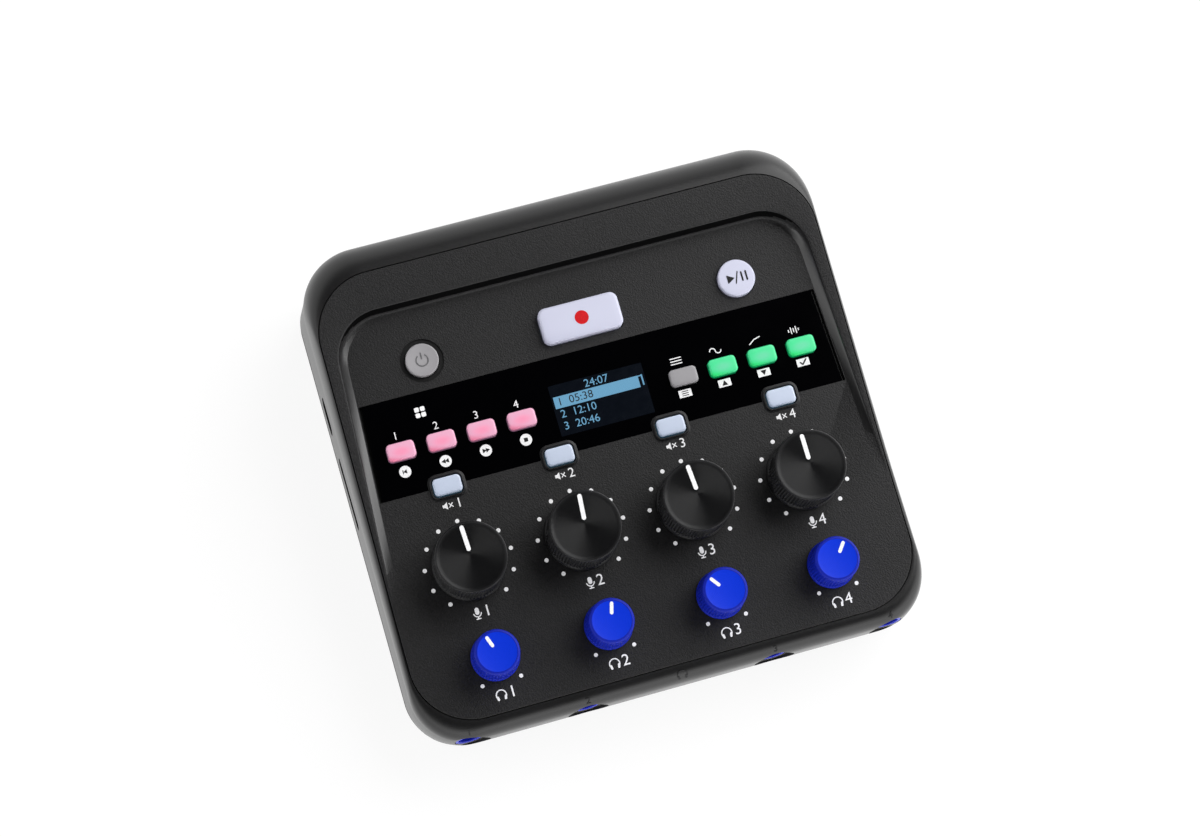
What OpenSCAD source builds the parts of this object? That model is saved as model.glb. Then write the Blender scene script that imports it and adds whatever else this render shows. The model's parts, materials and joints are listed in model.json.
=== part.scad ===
// Four-channel podcast recorder: a wedge-shaped desktop case with a sunken control panel, turning knobs,
// sprung buttons, slide switches and a sliding battery door. Millimetres, +Z up, +Y to the rear,
// origin on the table under the middle of the case.

/* [Case] */
// Width across the side walls at the joint, where they are fullest
case_w = 155; // [150:1:175]
// Depth between the front and rear walls at their fullest
case_d = 148; // [145:1:170]
// Height of the front crease, where the panel turns into the front wall
front_h = 26.5; // [26:0.5:34]
// Slope of the panel in degrees, rising to the rear
panel_tilt = 6; // [5:0.5:9]
// Distance up the panel from the front crease to where the rim starts to rise
rim_start = 38.5; // [30:0.5:46]
// Height of the rim above the panel at the rear crease
rim_h = 5; // [3:0.5:7]
// Depth of the rim between the rear crease and the recess
rim_d = 12; // [9:0.5:13]
// Width of the rim between the side crease and the recess at its front end
rim_front_w = 0.8; // [0.5:0.1:2]
// Width of the rim between the side crease and the recess at its rear end
rim_rear_w = 4.4; // [3:0.2:6]
// Corner radius of the crease
crease_r = 18; // [14:1:22]
// Corner radius of the recess at its rear
recess_r = 14; // [10:1:18]
// Width of the cove between the recess edge and the panel
cove_w = 3.1; // [2:0.1:4]
// Width of the roll from the crease to the side walls
roll_side = 1.9; // [1.2:0.1:3]
// Width of the roll from the crease to the front wall
roll_front = 4.6; // [3:0.2:7]
// Width of the roll from the crease to the rear wall
roll_rear = 10; // [7:0.2:12]
// Height of the roll at the front wall
roll_front_h = 6; // [4:0.5:8]
// Height of the roll at the rear wall
roll_rear_h = 15; // [9:0.5:16]
// How far each side wall spreads down to the joint between the two cases
side_flare = 0.8; // [0.2:0.1:1.5]
// How far the front wall draws in down to the joint between the two cases
front_tuck = 1.6; // [0.5:0.1:2.5]
// Corner radius of the walls at the front
front_corner_r = 16; // [14:1:22]
// Corner radius of the walls at the rear, under the roll
rear_corner_r = 23.5; // [18:0.5:26]
// Corner radius of the walls at the rear, at the joint
rear_joint_r = 13; // [10:0.5:20]
// Wall thickness
wall = 2.4; // [1.6:0.1:3]
// Thickness of the panel
panel_t = 2.6; // [2:0.1:3.2]
// Height of the joint between the two cases above the table
split_h = 9; // [8:0.5:9.5]
// Thickness of the bottom
floor_t = 2; // [1.6:0.1:3]
// How far the bottom edge is drawn in under the walls
bottom_roll = 4; // [2:0.5:6]

/* [Panel layout] */
// Depth between the front and rear creases that the rows below are given for
layout_d = 133.4; // [125:0.1:140]
// Width between the side creases that the columns below are given for
layout_w = 149.6; // [140:0.1:160]
// Distance between the channel columns
col_pitch = 33.5; // [32:0.5:36]
// Distance up the panel from the front crease to the volume knobs
row_volume = 15.9; // [14:0.1:18]
// Distance up the panel to the gain knobs
row_gain = 43.5; // [41:0.5:46]
// Distance up the panel to the mute buttons
row_mute = 66.9; // [65:0.1:69]
// Distance up the panel to the pads and function keys
row_keys = 80; // [78.5:0.5:82]
// Distance up the panel to the record button
row_record = 104.2; // [102:0.2:106]
// Distance between neighbouring pads and function keys
key_pitch = 12; // [11:0.2:13]
// Distance from the centre line to the inner pad and function key
key_inner = 24.4; // [22.5:0.1:27]
// Distance from the centre line to the power and play buttons
round_x = 47.6; // [42:0.2:52]
// Distance up the panel where the glossy strip starts
strip_start = 66.9; // [65.5:0.1:68]
// Depth of the glossy strip along the panel
strip_d = 28.6; // [27:0.2:29]
// Thickness of the glossy strip
strip_t = 1.2; // [0.8:0.1:1.5]
// Width of the display
display_w = 31; // [28:0.5:34]
// Depth of the display
display_d = 17; // [15:0.5:19]

/* [Knobs] */
// Diameter of a gain knob
gain_d = 20.8; // [18:0.2:23]
// Height of a gain knob's top above the panel
gain_h = 14.5; // [12:0.5:18]
// Number of ribs round a gain knob
gain_ribs = 72; // [40:4:90]
// Diameter of a volume knob
volume_d = 13.2; // [11:0.2:15]
// Height of a volume knob's top above the panel
volume_h = 12; // [10:0.5:15]
// Number of ribs round a volume knob
volume_ribs = 48; // [30:2:60]
// Depth of a knob's ribs
rib_depth = 0.25; // [0.15:0.05:0.4]
// Gap between a knob and the panel
knob_gap = 0.6; // [0.4:0.1:1]
// Diameter of a knob's shaft
shaft_d = 6; // [5:0.2:6.4]
// Width of a gain control's body
gain_pot_w = 11; // [9.6:0.2:12]
// Width of a volume control's body
volume_pot_w = 9.6; // [9.2:0.2:10.4]

/* [Buttons] */
// Width of a small key
key_w = 8.2; // [7.4:0.1:8.8]
// Depth of a small key
key_d = 5.1; // [4.6:0.1:5.6]
// Height of a small key above the panel
key_h = 1.5; // [1.1:0.1:2.2]
// Width of the record button
record_w = 24; // [20:0.5:28]
// Depth of the record button
record_d = 10.8; // [9:0.2:12]
// Height of the record button above the panel
record_h = 2.6; // [2:0.1:3.5]
// Diameter of the play button
play_d = 11; // [9.5:0.1:12.5]
// Diameter of the power button
power_d = 9.7; // [8:0.1:10.5]
// Diameter of the dish round the power button
power_dish_d = 12.8; // [12:0.1:14]
// Height of the round buttons above the panel
round_h = 1.8; // [1.4:0.1:2.5]
// Width of the raised bezel round a mute button
bezel_w = 1.1; // [0.8:0.1:1.3]
// Height of the raised bezel round a mute button
bezel_h = 0.8; // [0.5:0.1:1]
// Travel of every button
key_travel = 0.5; // [0.3:0.1:0.8]
// Width of a key switch under a button
switch_w = 6; // [5:0.2:6.4]
// Height of a key switch under a button
switch_t = 3.4; // [3:0.1:3.6]

/* [Boards] */
// Depth of the panel board's top face under the panel surface
board_drop = 9; // [8.6:0.2:9.4]
// Thickness of the boards
board_t = 1.6; // [1:0.2:2]
// Height of the main board's underside
main_board_z = 13; // [11:0.5:14]
// Diameter of the posts that carry the boards
post_d = 6; // [5:0.5:7]

/* [Sockets and switches] */
// Height of the headphone jacks' axis
jack_z = 17.5; // [16.5:0.25:18.5]
// Distance of the inner headphone jacks from the centre line
jack_inner_x = 28; // [24:0.5:32]
// Distance of the outer headphone jacks from the side walls
jack_inset = 14.5; // [14:0.5:18]
// Gap between the headphone jacks and the panel board behind them
jack_gap = 0.5; // [0.3:0.1:1]
// Diameter of the scooped face round a headphone jack
scoop_d = 12; // [10:0.5:13]
// Depth of the scooped face behind the front wall
scoop_depth = 1.5; // [1:0.1:2]
// Diameter of the blue ring round a headphone jack
jack_ring_d = 8.2; // [7.6:0.1:8.8]
// Bore of a headphone jack
jack_bore_d = 3.6; // [3.5:0.05:3.8]
// Distance between the microphone sockets
mic_pitch = 30.5; // [28:0.5:31]
// Diameter of a microphone socket's barrel
mic_d = 22.4; // [21:0.2:22.6]
// Depth of a microphone socket behind the rear wall
mic_l = 22; // [20:0.5:24]
// Diameter of a microphone plug's space in its socket
mic_plug_d = 19.2; // [18.8:0.1:19.6]
// Distance up the panel to the port in the left wall
port_row = 101.5; // [97:0.5:104]
// Distance up the panel to the card slot in the left wall
card_row = 77; // [72:0.5:82]
// Length of the recess round the card slot
card_recess_l = 22.5; // [18:0.5:26]
// Width of the card slot
card_w = 12.4; // [11.6:0.2:14]
// Distance up the panel to the long slide switch in the right wall
slide_long_row = 48.3; // [46:0.1:52]
// Distance up the panel to the short slide switch in the right wall
slide_short_row = 33.3; // [29:0.1:34]
// Length of the long slide switch's knob
slide_long_l = 7.5; // [6:0.25:8]
// Length of the short slide switch's knob
slide_short_l = 5.3; // [4:0.1:6]
// Travel of a slide switch
slide_travel = 2.5; // [1.5:0.25:3]
// Height of the slide switches' axis
slide_z = 17; // [15:0.5:18]
// How far a slide switch's knob stands out of the right wall
slide_proud = 1.5; // [0.8:0.1:2]

/* [Batteries] */
// Diameter of a battery cell
cell_d = 14.5; // [14:0.1:14.6]
// Length of a battery cell
cell_l = 50.5; // [49:0.1:51]
// Distance from the centre line to the middle of the battery bay
bay_x = 16; // [14:0.5:18]
// Room for the contact at each end of a cell
contact_room = 3; // [2:0.25:4]
// Travel of the battery door
door_travel = 6; // [4:0.5:7]
// Thickness of the battery door
door_t = 1.6; // [1.2:0.1:2]

/* [Feet and screws] */
// Height of the underside above the table
foot_h = 2; // [1.5:0.1:3]
// Diameter of a rubber foot
foot_d = 12; // [9:0.5:14]
// Diameter of a case screw's shank
screw_d = 2.8; // [2.4:0.1:3]
// Diameter of a case screw's head
screw_head_d = 5.4; // [4.8:0.1:5.8]

/* [Fits] */
// Gap round a moving piece
clear = 0.3; // [0.25:0.05:0.4]
// Gap round a fixed piece in its seat
seat = 0.15; // [0.1:0.05:0.2]
// Gap between a turning shaft and its bush
running = 0.05; // [0.03:0.01:0.08]

/* [Hidden] */
$fn = 48;

channels = 4;
tiny = 0.01;

// Case outline: crease, recess and floor in plan, with the rim plane rising from rise_y
crease_hw = case_w / 2 - side_flare - roll_side;
crease_y0 = -case_d / 2 + roll_front;
crease_y1 = case_d / 2 - roll_rear;
// Depth and width between the creases that the rows and columns of the panel are given for
row_scale = (crease_y1 - crease_y0) / layout_d;
col_scale = 2 * crease_hw / layout_w;
rise_y = crease_y0 + rim_start * row_scale * cos(panel_tilt);
rim_slope = rim_h / (crease_y1 - rise_y);
recess_y1 = crease_y1 - rim_d;
recess_hw0 = crease_hw - rim_front_w;
recess_hw1 = crease_hw - rim_rear_w;
corner_steps = 9;
side_steps = 6;
roll_angles = [0, 18, 36, 54, 72, 90];
cove_steps = [0, 0.06, 0.2, 0.42, 0.7, 1];

// Heights of the panel plane, of the rim plane and of the roll under it, at depth y
function panel_z(y) = front_h + (y - crease_y0) * tan(panel_tilt);
function rim_rise(y) = max(0, y - rise_y) * rim_slope;
function roll_h(y) = roll_front_h
    + (roll_rear_h - roll_front_h) * (y - crease_y0) / (crease_y1 - crease_y0);

// Points on a straight line, both ends left out
function between(a, b, n) = [for (i = [1:n - 1]) a + (b - a) * i / n];
// Points on an arc, both ends kept
function arc(c, r, a0, a1, n) = [for (i = [0:n]) let (a = a0 + (a1 - a0) * i / n) c + r * [cos(a), sin(a)]];

// Right half of a rounded outline, from the end of the front edge to the end of the rear edge
function case_half(hw, y0, y1, r0, r1) = concat(
    arc([hw - r0, y0 + r0], r0, -90, 0, corner_steps),
    [[hw, rise_y]], between([hw, rise_y], [hw, y1 - r1], side_steps),
    arc([hw - r1, y1 - r1], r1, 0, 90, corner_steps));

// Right half of the recess outline: front corners where the rim is still level, then tapered sides
function recess_half(hw0, hw1, y0, y1, r) =
    let (lean = atan((hw0 - hw1) / (y1 - y0)),
        c = [hw0 - ((y1 - r - y0) * sin(lean) + r) / cos(lean), y1 - r],
        turn = arc(c, r, lean, 90, corner_steps))
    concat(arc([hw0 - recess_r, y0], recess_r, -90, 0, corner_steps + 1),
        between([hw0, y0], turn[0], side_steps), turn);

// Outline drawn in from the top of the walls by the share k of the roll
function rolled_half(k, inset = 0) = case_half(
    crease_hw + roll_side * (1 - k) - inset, crease_y0 - roll_front * (1 - k) + inset,
    crease_y1 + roll_rear * (1 - k) - inset,
    front_corner_r + (crease_r - front_corner_r) * k - inset,
    rear_corner_r + (crease_r - rear_corner_r) * k - inset);

// Outline of the walls at the share u of the way from the roll (0) to the joint (1), and straight on below it:
// the sides spread evenly, the front draws in along a curve, the rear stays upright and its corners tighten
wall_top = front_h - roll_front_h;
function wall_share(z) = (wall_top - z) / (wall_top - split_h);
function front_draw(u) = front_tuck * (u < 1 ? u * u : 2 * u - 1);
function wall_half(u, inset = 0) = case_half(
    case_w / 2 - side_flare * (1 - min(u, 1)) - inset, -case_d / 2 + front_draw(u) + inset,
    case_d / 2 - inset, front_corner_r - inset,
    rear_corner_r + (rear_joint_r - rear_corner_r) * min(u, 1) - inset);

// Whole ring from a right half with heights: the left half is its mirror image
function ring(half) = concat(half, [for (i = [len(half) - 1:-1:0]) [-half[i].x, half[i].y, half[i].z]]);
function level(half, z) = ring([for (p = half) [p.x, p.y, z]]);

crease = rolled_half(1);
function roll_ring(angle) =
    let (flat = rolled_half(1 - cos(angle)))
    ring([for (i = [0:len(flat) - 1]) let (y = crease[i].y)
        [flat[i].x, flat[i].y, panel_z(y) + rim_rise(y) - roll_h(y) * (1 - sin(angle))]]);

// Cove from the recess edge (t = 0, upright) down to the floor (t = 1, level): a quarter ellipse
recess_edge = recess_half(recess_hw0, recess_hw1, rise_y, recess_y1, recess_r);
function cove_ring(t) =
    let (flat = recess_half(recess_hw0 - cove_w * t, recess_hw1 - cove_w * t, rise_y + cove_w * t,
        recess_y1 - cove_w * t, recess_r - cove_w * t))
    ring([for (i = [0:len(flat) - 1])
        [flat[i].x, flat[i].y, panel_z(flat[i].y) + rim_rise(recess_edge[i].y) * (1 - sqrt(t * (2 - t)))]]);

// Half width of the recess floor at a distance up the panel
function floor_hw(s) =
    let (y = crease_y0 + s * cos(panel_tilt), y0 = rise_y + cove_w, y1 = recess_y1 - cove_w)
    recess_hw0 - cove_w + (recess_hw1 - recess_hw0) * (y - y0) / (y1 - y0);

// Closed skin over a stack of rings, its flat ends made of strips from side to side
module loft(rings) {
    m = len(rings[0]);
    n = len(rings);
    top = (n - 1) * m;
    polyhedron(points = [for (r = rings) each r],
        faces = concat(
            [for (i = [0:m / 2 - 2]) each [[i, i + 1, m - 2 - i], [i, m - 2 - i, m - 1 - i]]],
            [for (i = [0:n - 2], j = [0:m - 1]) let (k = (j + 1) % m, a = i * m, b = a + m)
                each [[a + j, b + j, b + k], [a + j, b + k, a + k]]],
            [for (i = [0:m / 2 - 2]) each
                [[top + m - 2 - i, top + i + 1, top + i], [top + m - 1 - i, top + m - 2 - i, top + i]]]),
        convexity = 6);
}

// Panel frame: x across, s up the panel from the front crease, z out of the panel
module on_panel(x = 0, s = 0, n = 0) {
    translate([0, crease_y0, front_h]) rotate([panel_tilt, 0, 0]) translate([x, s, n]) children();
}
function wall_y(s) = crease_y0 + s * row_scale * cos(panel_tilt);

// Rows and columns of the panel at the case's own size
s_volume = row_volume * row_scale;
s_gain = row_gain * row_scale;
s_mute = row_mute * row_scale;
s_keys = row_keys * row_scale;
s_record = row_record * row_scale;
strip_s0 = strip_start * row_scale;
strip_l = strip_d * row_scale;
display_l = display_d * row_scale;
column_pitch = col_pitch * col_scale;
keys_pitch = key_pitch * col_scale;
keys_inner = key_inner * col_scale;
rounds_x = round_x * col_scale;
mics_pitch = mic_pitch * col_scale;
function column_x(i) = (i - (channels - 1) / 2) * column_pitch;
function pad_x(i) = -keys_inner - (channels - 1 - i) * keys_pitch;
function function_x(i) = keys_inner + i * keys_pitch;

// Rounded rectangle about the origin
module rounded(w, d, r) {
    square([w - 2 * r, d], center = true);
    square([w, d - 2 * r], center = true);
    for (x = [-1, 1], y = [-1, 1]) translate([x * (w / 2 - r), y * (d / 2 - r)]) circle(r);
}
module slab(w, d, r, z0, z1) { translate([0, 0, z0]) linear_extrude(z1 - z0) rounded(w, d, r); }
module rod(d, z0, z1) { translate([0, 0, z0]) cylinder(d = d, h = z1 - z0); }
module tube(d, bore, z0, z1) {
    difference() {
        rod(d, z0, z1);
        rod(bore, z0 - 1, z1 + 1);
    }
}

// Buttons: heights along the panel's normal
key_r = 1.2;
record_r = 2.3;
key_chamfer = 0.5;
record_chamfer = 0.9;
flange_w = 1;
flange_t = 0.8;
stem_d = 3;
board_top = -board_drop;
flange_top = -panel_t - clear;
switch_top = board_top + switch_t;
stem_end = switch_top + key_travel + clear;
bezel_r = key_r + clear + bezel_w;
s_display = s_mute + key_d / 2 + flange_w + clear + display_l / 2;
bezel_out_w = key_w + 2 * (clear + bezel_w);
bezel_out_d = key_d + 2 * (clear + bezel_w);

module key(w, d, r, top, chamfer) {
    slab(w, d, r, flange_top - tiny, top - chamfer);
    hull() {
        translate([0, 0, top - chamfer - tiny]) linear_extrude(tiny) rounded(w, d, r, $fn = 24);
        translate([0, 0, top - tiny])
            linear_extrude(tiny) rounded(w - 2 * chamfer, d - 2 * chamfer, r - chamfer / 2, $fn = 24);
    }
    slab(w + 2 * flange_w, d + 2 * flange_w, r + flange_w, flange_top - flange_t, flange_top);
    rod(stem_d, stem_end, flange_top - flange_t + tiny);
}
module round_key(d, top, dish) {
    edge = 0.4;
    rotate_extrude() polygon([[0, stem_end], [stem_d / 2, stem_end], [stem_d / 2, flange_top - flange_t],
        [d / 2 + flange_w, flange_top - flange_t], [d / 2 + flange_w, flange_top], [d / 2, flange_top],
        [d / 2, top - edge], [d / 2 - edge, top], [0, top - dish]]);
}
module key_opening(w, d, r) {
    slab(w + 2 * clear, d + 2 * clear, r + clear, -panel_t - 1, rim_h);
}

// Knobs: a ribbed wall with a skirt, a bright chamfer and a dished top, hollow round a hub
knob_wall = 1.8;
knob_top_t = 3;
knob_chamfer = 0.6;
knob_dish = 0.4;
skirt_out = 0.35;
skirt_h = 1.6;
hub_d = shaft_d + 3.2;
shaft_end = 3.4;
module knob(d, top, ribs) {
    r = d / 2;
    core = r - 1.6 * rib_depth;
    difference() {
        union() {
            rotate_extrude() polygon([[0, knob_gap], [r + skirt_out, knob_gap],
                [r + skirt_out, knob_gap + skirt_h], [core, knob_gap + skirt_h],
                [core, top - knob_chamfer], [core - knob_chamfer / 2, top], [0, top - knob_dish]]);
            translate([0, 0, knob_gap + skirt_h - tiny])
                linear_extrude(top - knob_chamfer - knob_gap - skirt_h) polygon([for (i = [0:2 * ribs - 1])
                    let (q = r - (i % 2) * rib_depth) q * [cos(180 * i / ribs), sin(180 * i / ribs)]]);
        }
        tube(d - 2 * knob_wall, hub_d, knob_gap - 1, top - knob_top_t);
        rod(shaft_d + 2 * seat, knob_gap - 1, top - shaft_end + clear);
    }
}
module gain_knob(i) { color("#17181a") on_panel(column_x(i), s_gain) knob(gain_d, gain_h, gain_ribs); }
module volume_knob(i) {
    color("#1932e0") on_panel(column_x(i), s_volume) knob(volume_d, volume_h, volume_ribs);
}

// Rotary controls on the panel board, with a bush that passes the panel
bush_d = shaft_d + 2.6;
bush_top = -0.5;
pot_t = board_drop - panel_t - 0.4;
shaft_foot = board_top + 1.5;
module shaft(top) { rod(shaft_d, shaft_foot, top - shaft_end); }
module gain_shaft(i) { color("#c9ccd0") on_panel(column_x(i), s_gain) shaft(gain_h); }
module volume_shaft(i) { color("#c9ccd0") on_panel(column_x(i), s_volume) shaft(volume_h); }
module control(w) {
    difference() {
        union() {
            slab(w, w, 0.8, board_top, board_top + pot_t);
            rod(bush_d, board_top + pot_t - tiny, bush_top);
        }
        rod(shaft_d + 2 * running, shaft_foot - running, bush_top + 1);
    }
}
module gain_controls() {
    color("#5b6470") for (i = [0:channels - 1]) on_panel(column_x(i), s_gain) control(gain_pot_w);
}
module volume_controls() {
    color("#5b6470") for (i = [0:channels - 1]) on_panel(column_x(i), s_volume) control(volume_pot_w);
}

// Glossy strip from wall to wall, notched for the mute bezels and pierced for the small keys
module strip_outline(gap) {
    s1 = strip_s0 + strip_l;
    hw0 = floor_hw(strip_s0) - 2 * seat - gap;
    hw1 = floor_hw(s1) - 2 * seat - gap;
    difference() {
        polygon([[-hw0, strip_s0 + gap], [hw0, strip_s0 + gap], [hw1, s1 - gap], [-hw1, s1 - gap]]);
        for (i = [0:channels - 1]) translate([column_x(i), s_mute])
            rounded(bezel_out_w + 2 * gap, bezel_out_d + 2 * gap, bezel_r + gap);
    }
}
module small_keys() {
    for (i = [0:channels - 1], x = [pad_x(i), function_x(i)]) translate([x, s_keys]) children();
}
module display_strip() {
    color("#050607") on_panel(0, 0, -strip_t) linear_extrude(strip_t) difference() {
        strip_outline(seat);
        small_keys() rounded(key_w + 2 * clear, key_d + 2 * clear, key_r + clear);
    }
}

// Display: a glass on a frame that stands on the panel board, seen through the strip
display_glass = 1.5;
display_frame = 1.2;
module display_module() {
    color("#1c2b33") on_panel(0, s_display) {
        slab(display_w, display_l, 0.6, -strip_t - display_glass, -strip_t);
        difference() {
            slab(display_w, display_l, 0.6, board_top, -strip_t - display_glass);
            slab(display_w - 2 * display_frame, display_l - 2 * display_frame, 0.3, board_top - 1, 0);
        }
    }
}

// Raised bezels round the mute buttons
module mute_bezels() {
    color("#3a3b3d") for (i = [0:channels - 1]) on_panel(column_x(i), s_mute) difference() {
        slab(bezel_out_w, bezel_out_d, bezel_r, 0, bezel_h);
        slab(key_w + 2 * clear, key_d + 2 * clear, key_r + clear, -1, bezel_h + 1);
    }
}

// Panel board under the panel, held to posts of the top case by screws
board_front = s_volume - volume_pot_w / 2 - 1;
board_rear = s_record + 12;
board_hw = function_x(channels - 1) + switch_w / 2 + 0.6;
pilot_d = 2.2;
board_screw_l = 6;
module panel_posts() {
    for (p = post_places) on_panel(p.x, p.y) tube(post_d, pilot_d + 2 * running, board_top, -panel_t / 2);
}
module panel_board() {
    color("#1d5b3a") difference() {
        on_panel(0, 0, board_top - board_t) translate([-board_hw, board_front])
            cube([2 * board_hw, board_rear - board_front, board_t]);
        for (p = post_places)
            on_panel(p.x, p.y) rod(pilot_d + 2 * seat, board_top - board_t - 1, board_top + 1);
        for (p = boss_places) translate(p) rod(boss_d + 1, 0, front_h);
    }
}
module board_screws() {
    color("#b8bbc0") for (p = post_places) on_panel(p.x, p.y, board_top - board_t) {
        rod(2 * pilot_d, -1.2, 0);
        rod(pilot_d, -tiny, board_screw_l);
    }
}
module key_switches() {
    color("#26282b") {
        for (i = [0:channels - 1], p = [[pad_x(i), s_keys], [function_x(i), s_keys],
            [column_x(i), s_mute]]) on_panel(p.x, p.y) slab(switch_w, switch_w, 0.4, board_top, switch_top);
        for (x = [-rounds_x, 0, rounds_x])
            on_panel(x, s_record) slab(switch_w, switch_w, 0.4, board_top, switch_top);
    }
}

// Headphone jacks in scooped faces of the front wall
jack_y = -case_d / 2 + scoop_depth;
jack_ring_t = 1.2;
jack_barrel_d = jack_ring_d - 0.4;
jack_block_y = 6;
jack_l = crease_y0 + board_front * cos(panel_tilt) + board_drop * sin(panel_tilt) - jack_gap - jack_y;
jack_block_w = jack_barrel_d + 1;
jack_out = case_w / 2 - jack_inset;
jack_in = jack_inner_x * col_scale;
jack_xs = [-jack_out, -jack_in, jack_in, jack_out];
module at_jacks() { for (x = jack_xs) translate([x, jack_y, jack_z]) rotate([-90, 0, 0]) children(); }
module headphone_jacks() {
    color("#2a2b2e") at_jacks() difference() {
        union() {
            rod(jack_barrel_d, jack_ring_t, jack_l);
            slab(jack_block_w, jack_block_w, 0.5, jack_block_y, jack_l);
        }
        rod(jack_bore_d, jack_ring_t - 1, jack_l - 1);
    }
}
module headphone_rings() { color("#1932e0") at_jacks() tube(jack_ring_d, jack_bore_d + 1.4, 0, jack_ring_t); }

// Bosses of the top case for the screws that come up through the bottom case, clear of the jacks
boss_d = post_d;
boss_x = case_w / 2 - wall - boss_d / 2 - 5.5;
boss_y0 = jack_y + jack_l + jack_gap + boss_d / 2 + 1;
boss_y1 = case_d / 2 - rear_corner_r + boss_d / 2;
boss_places = [for (x = [-boss_x, boss_x], y = [boss_y0, boss_y1]) [x, y]];

// Microphone sockets in the rear wall: a barrel, a plug space and an insert with three contacts
mic_z = split_h + mic_d / 2 + 0.3;
mic_y = case_d / 2 - 0.4;
mic_inner = wall - (case_d / 2 - mic_y);
mic_flange_w = mic_d + 3;
mic_flange_h = 0.6 * mic_d;
insert_d = mic_plug_d - 3.4;
contact_d = 2.6;
contact_ring = 8;
mic_depth = 14;
module at_mics() {
    for (i = [0:channels - 1]) translate([(i - (channels - 1) / 2) * mics_pitch, mic_y, mic_z])
        rotate([90, 0, 0]) children();
}
module at_contacts() { for (a = [90, 210, 330]) rotate(a) translate([contact_ring / 2, 0]) children(); }
module mic_sockets() {
    flange = 1.5;
    color("#2b2c2f") at_mics() difference() {
        union() {
            rod(mic_d, 0, mic_l);
            slab(mic_flange_w, mic_flange_h, 1, mic_inner, mic_inner + flange);
        }
        tube(mic_plug_d, insert_d, -1, mic_depth);
        at_contacts() rod(contact_d + 2 * running, -1, mic_depth);
    }
}
module mic_contacts() {
    color("#d8b25c") at_mics() at_contacts() difference() {
        rod(contact_d, 0.8, mic_depth - tiny);
        rod(contact_d - 0.6, 0, mic_depth - 2);
    }
}

// Battery bay in the bottom case: four cells side by side, closed by a sliding door
cells = 4;
cell_gap = 0.4;
bay_wall = 1.5;
door_lip = 2;
bay_w = cells * cell_d + (cells - 1) * cell_gap + 1;
bay_l = cell_l + 2 * contact_room;
bay_y1 = case_d / 2 - mic_l - 2 - bay_wall;
bay_y0 = bay_y1 - bay_l;
door_room = door_t + clear;
cell_z = foot_h + door_room + cell_gap + cell_d / 2;
bay_top = cell_z + cell_d / 2 + cell_gap;
door_w = bay_w + 2 * door_lip;
door_l = bay_l + 2 * door_lip;
door_y0 = bay_y0 - door_lip;
frame_t = 2;

// Posts of the panel board: two rows between the knobs, the second just in front of the bay, and one behind
s_bay_post = (bay_y0 - bay_wall - 2 * pilot_d - crease_y0) / cos(panel_tilt);
post_places = [for (x = [-1, 1]) each [[x * column_pitch, (s_volume + s_gain) / 2],
    [x * column_pitch, s_bay_post], [x * (record_w / 2 + rounds_x) / 2, s_record + 6]]];
module bay_box(margin, z0, z1, front = 0) {
    translate([bay_x - bay_w / 2 - margin, bay_y0 - margin - front, z0])
        cube([bay_w + 2 * margin, bay_l + 2 * margin + front, z1 - z0]);
}
module at_cells() {
    for (i = [0:cells - 1]) translate([bay_x + (i - (cells - 1) / 2) * (cell_d + cell_gap),
        bay_y0 + contact_room, cell_z]) rotate([-90, 0, 0]) children();
}
module battery_cells() {
    nub_d = 5;
    nub_h = 1;
    color("#7d8289") at_cells() {
        rod(cell_d, 0, cell_l - nub_h);
        rod(nub_d, cell_l - nub_h - tiny, cell_l);
    }
}
module battery_contacts() {
    plate_t = 0.4;
    plate_w = 9;
    tip_d = 4;
    color("#d0d2d6") at_cells() {
        slab(plate_w, plate_w, 1, -contact_room, plate_t - contact_room);
        rod(tip_d, plate_t - contact_room - tiny, -running);
        slab(plate_w, plate_w, 1, cell_l + contact_room - plate_t, cell_l + contact_room);
        rod(tip_d, cell_l + running, cell_l + contact_room - plate_t + tiny);
    }
}
module battery_door() {
    ridges = 5;
    ridge_l = 20;
    ridge_pitch = 2;
    ridge_h = 0.3;
    color("#202124") {
        translate([bay_x - door_w / 2, door_y0, foot_h]) cube([door_w, door_l, door_t]);
        for (i = [0:ridges - 1])
            translate([bay_x - ridge_l / 2, door_y0 + door_l - ridge_pitch * (i + 3), foot_h - ridge_h])
                cube([ridge_l, ridge_pitch / 2, ridge_h + tiny]);
    }
}
module door_space() {
    translate([bay_x - door_w / 2 - clear, door_y0 - door_travel - clear, foot_h - 1])
        cube([door_w + 2 * clear, door_l + door_travel + 2 * clear, door_room + 1]);
}

// Main board on posts of the bottom case, with the port and the card socket at its left edge
main_x0 = -case_w / 2 + wall + 1.5;
main_x1 = bay_x - bay_w / 2 - bay_wall - 2;
main_y0 = wall_y(card_row) - card_recess_l;
main_y1 = case_d / 2 - mic_l - 4;
main_posts = [for (x = [main_x0 + post_d, main_x1 - post_d], y = [main_y0 + post_d, main_y1 - post_d]) [x, y]];
main_top = main_board_z + board_t;
module main_board() {
    color("#1d5b3a") translate([main_x0, main_y0, main_board_z])
        cube([main_x1 - main_x0, main_y1 - main_y0, board_t]);
}
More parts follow.
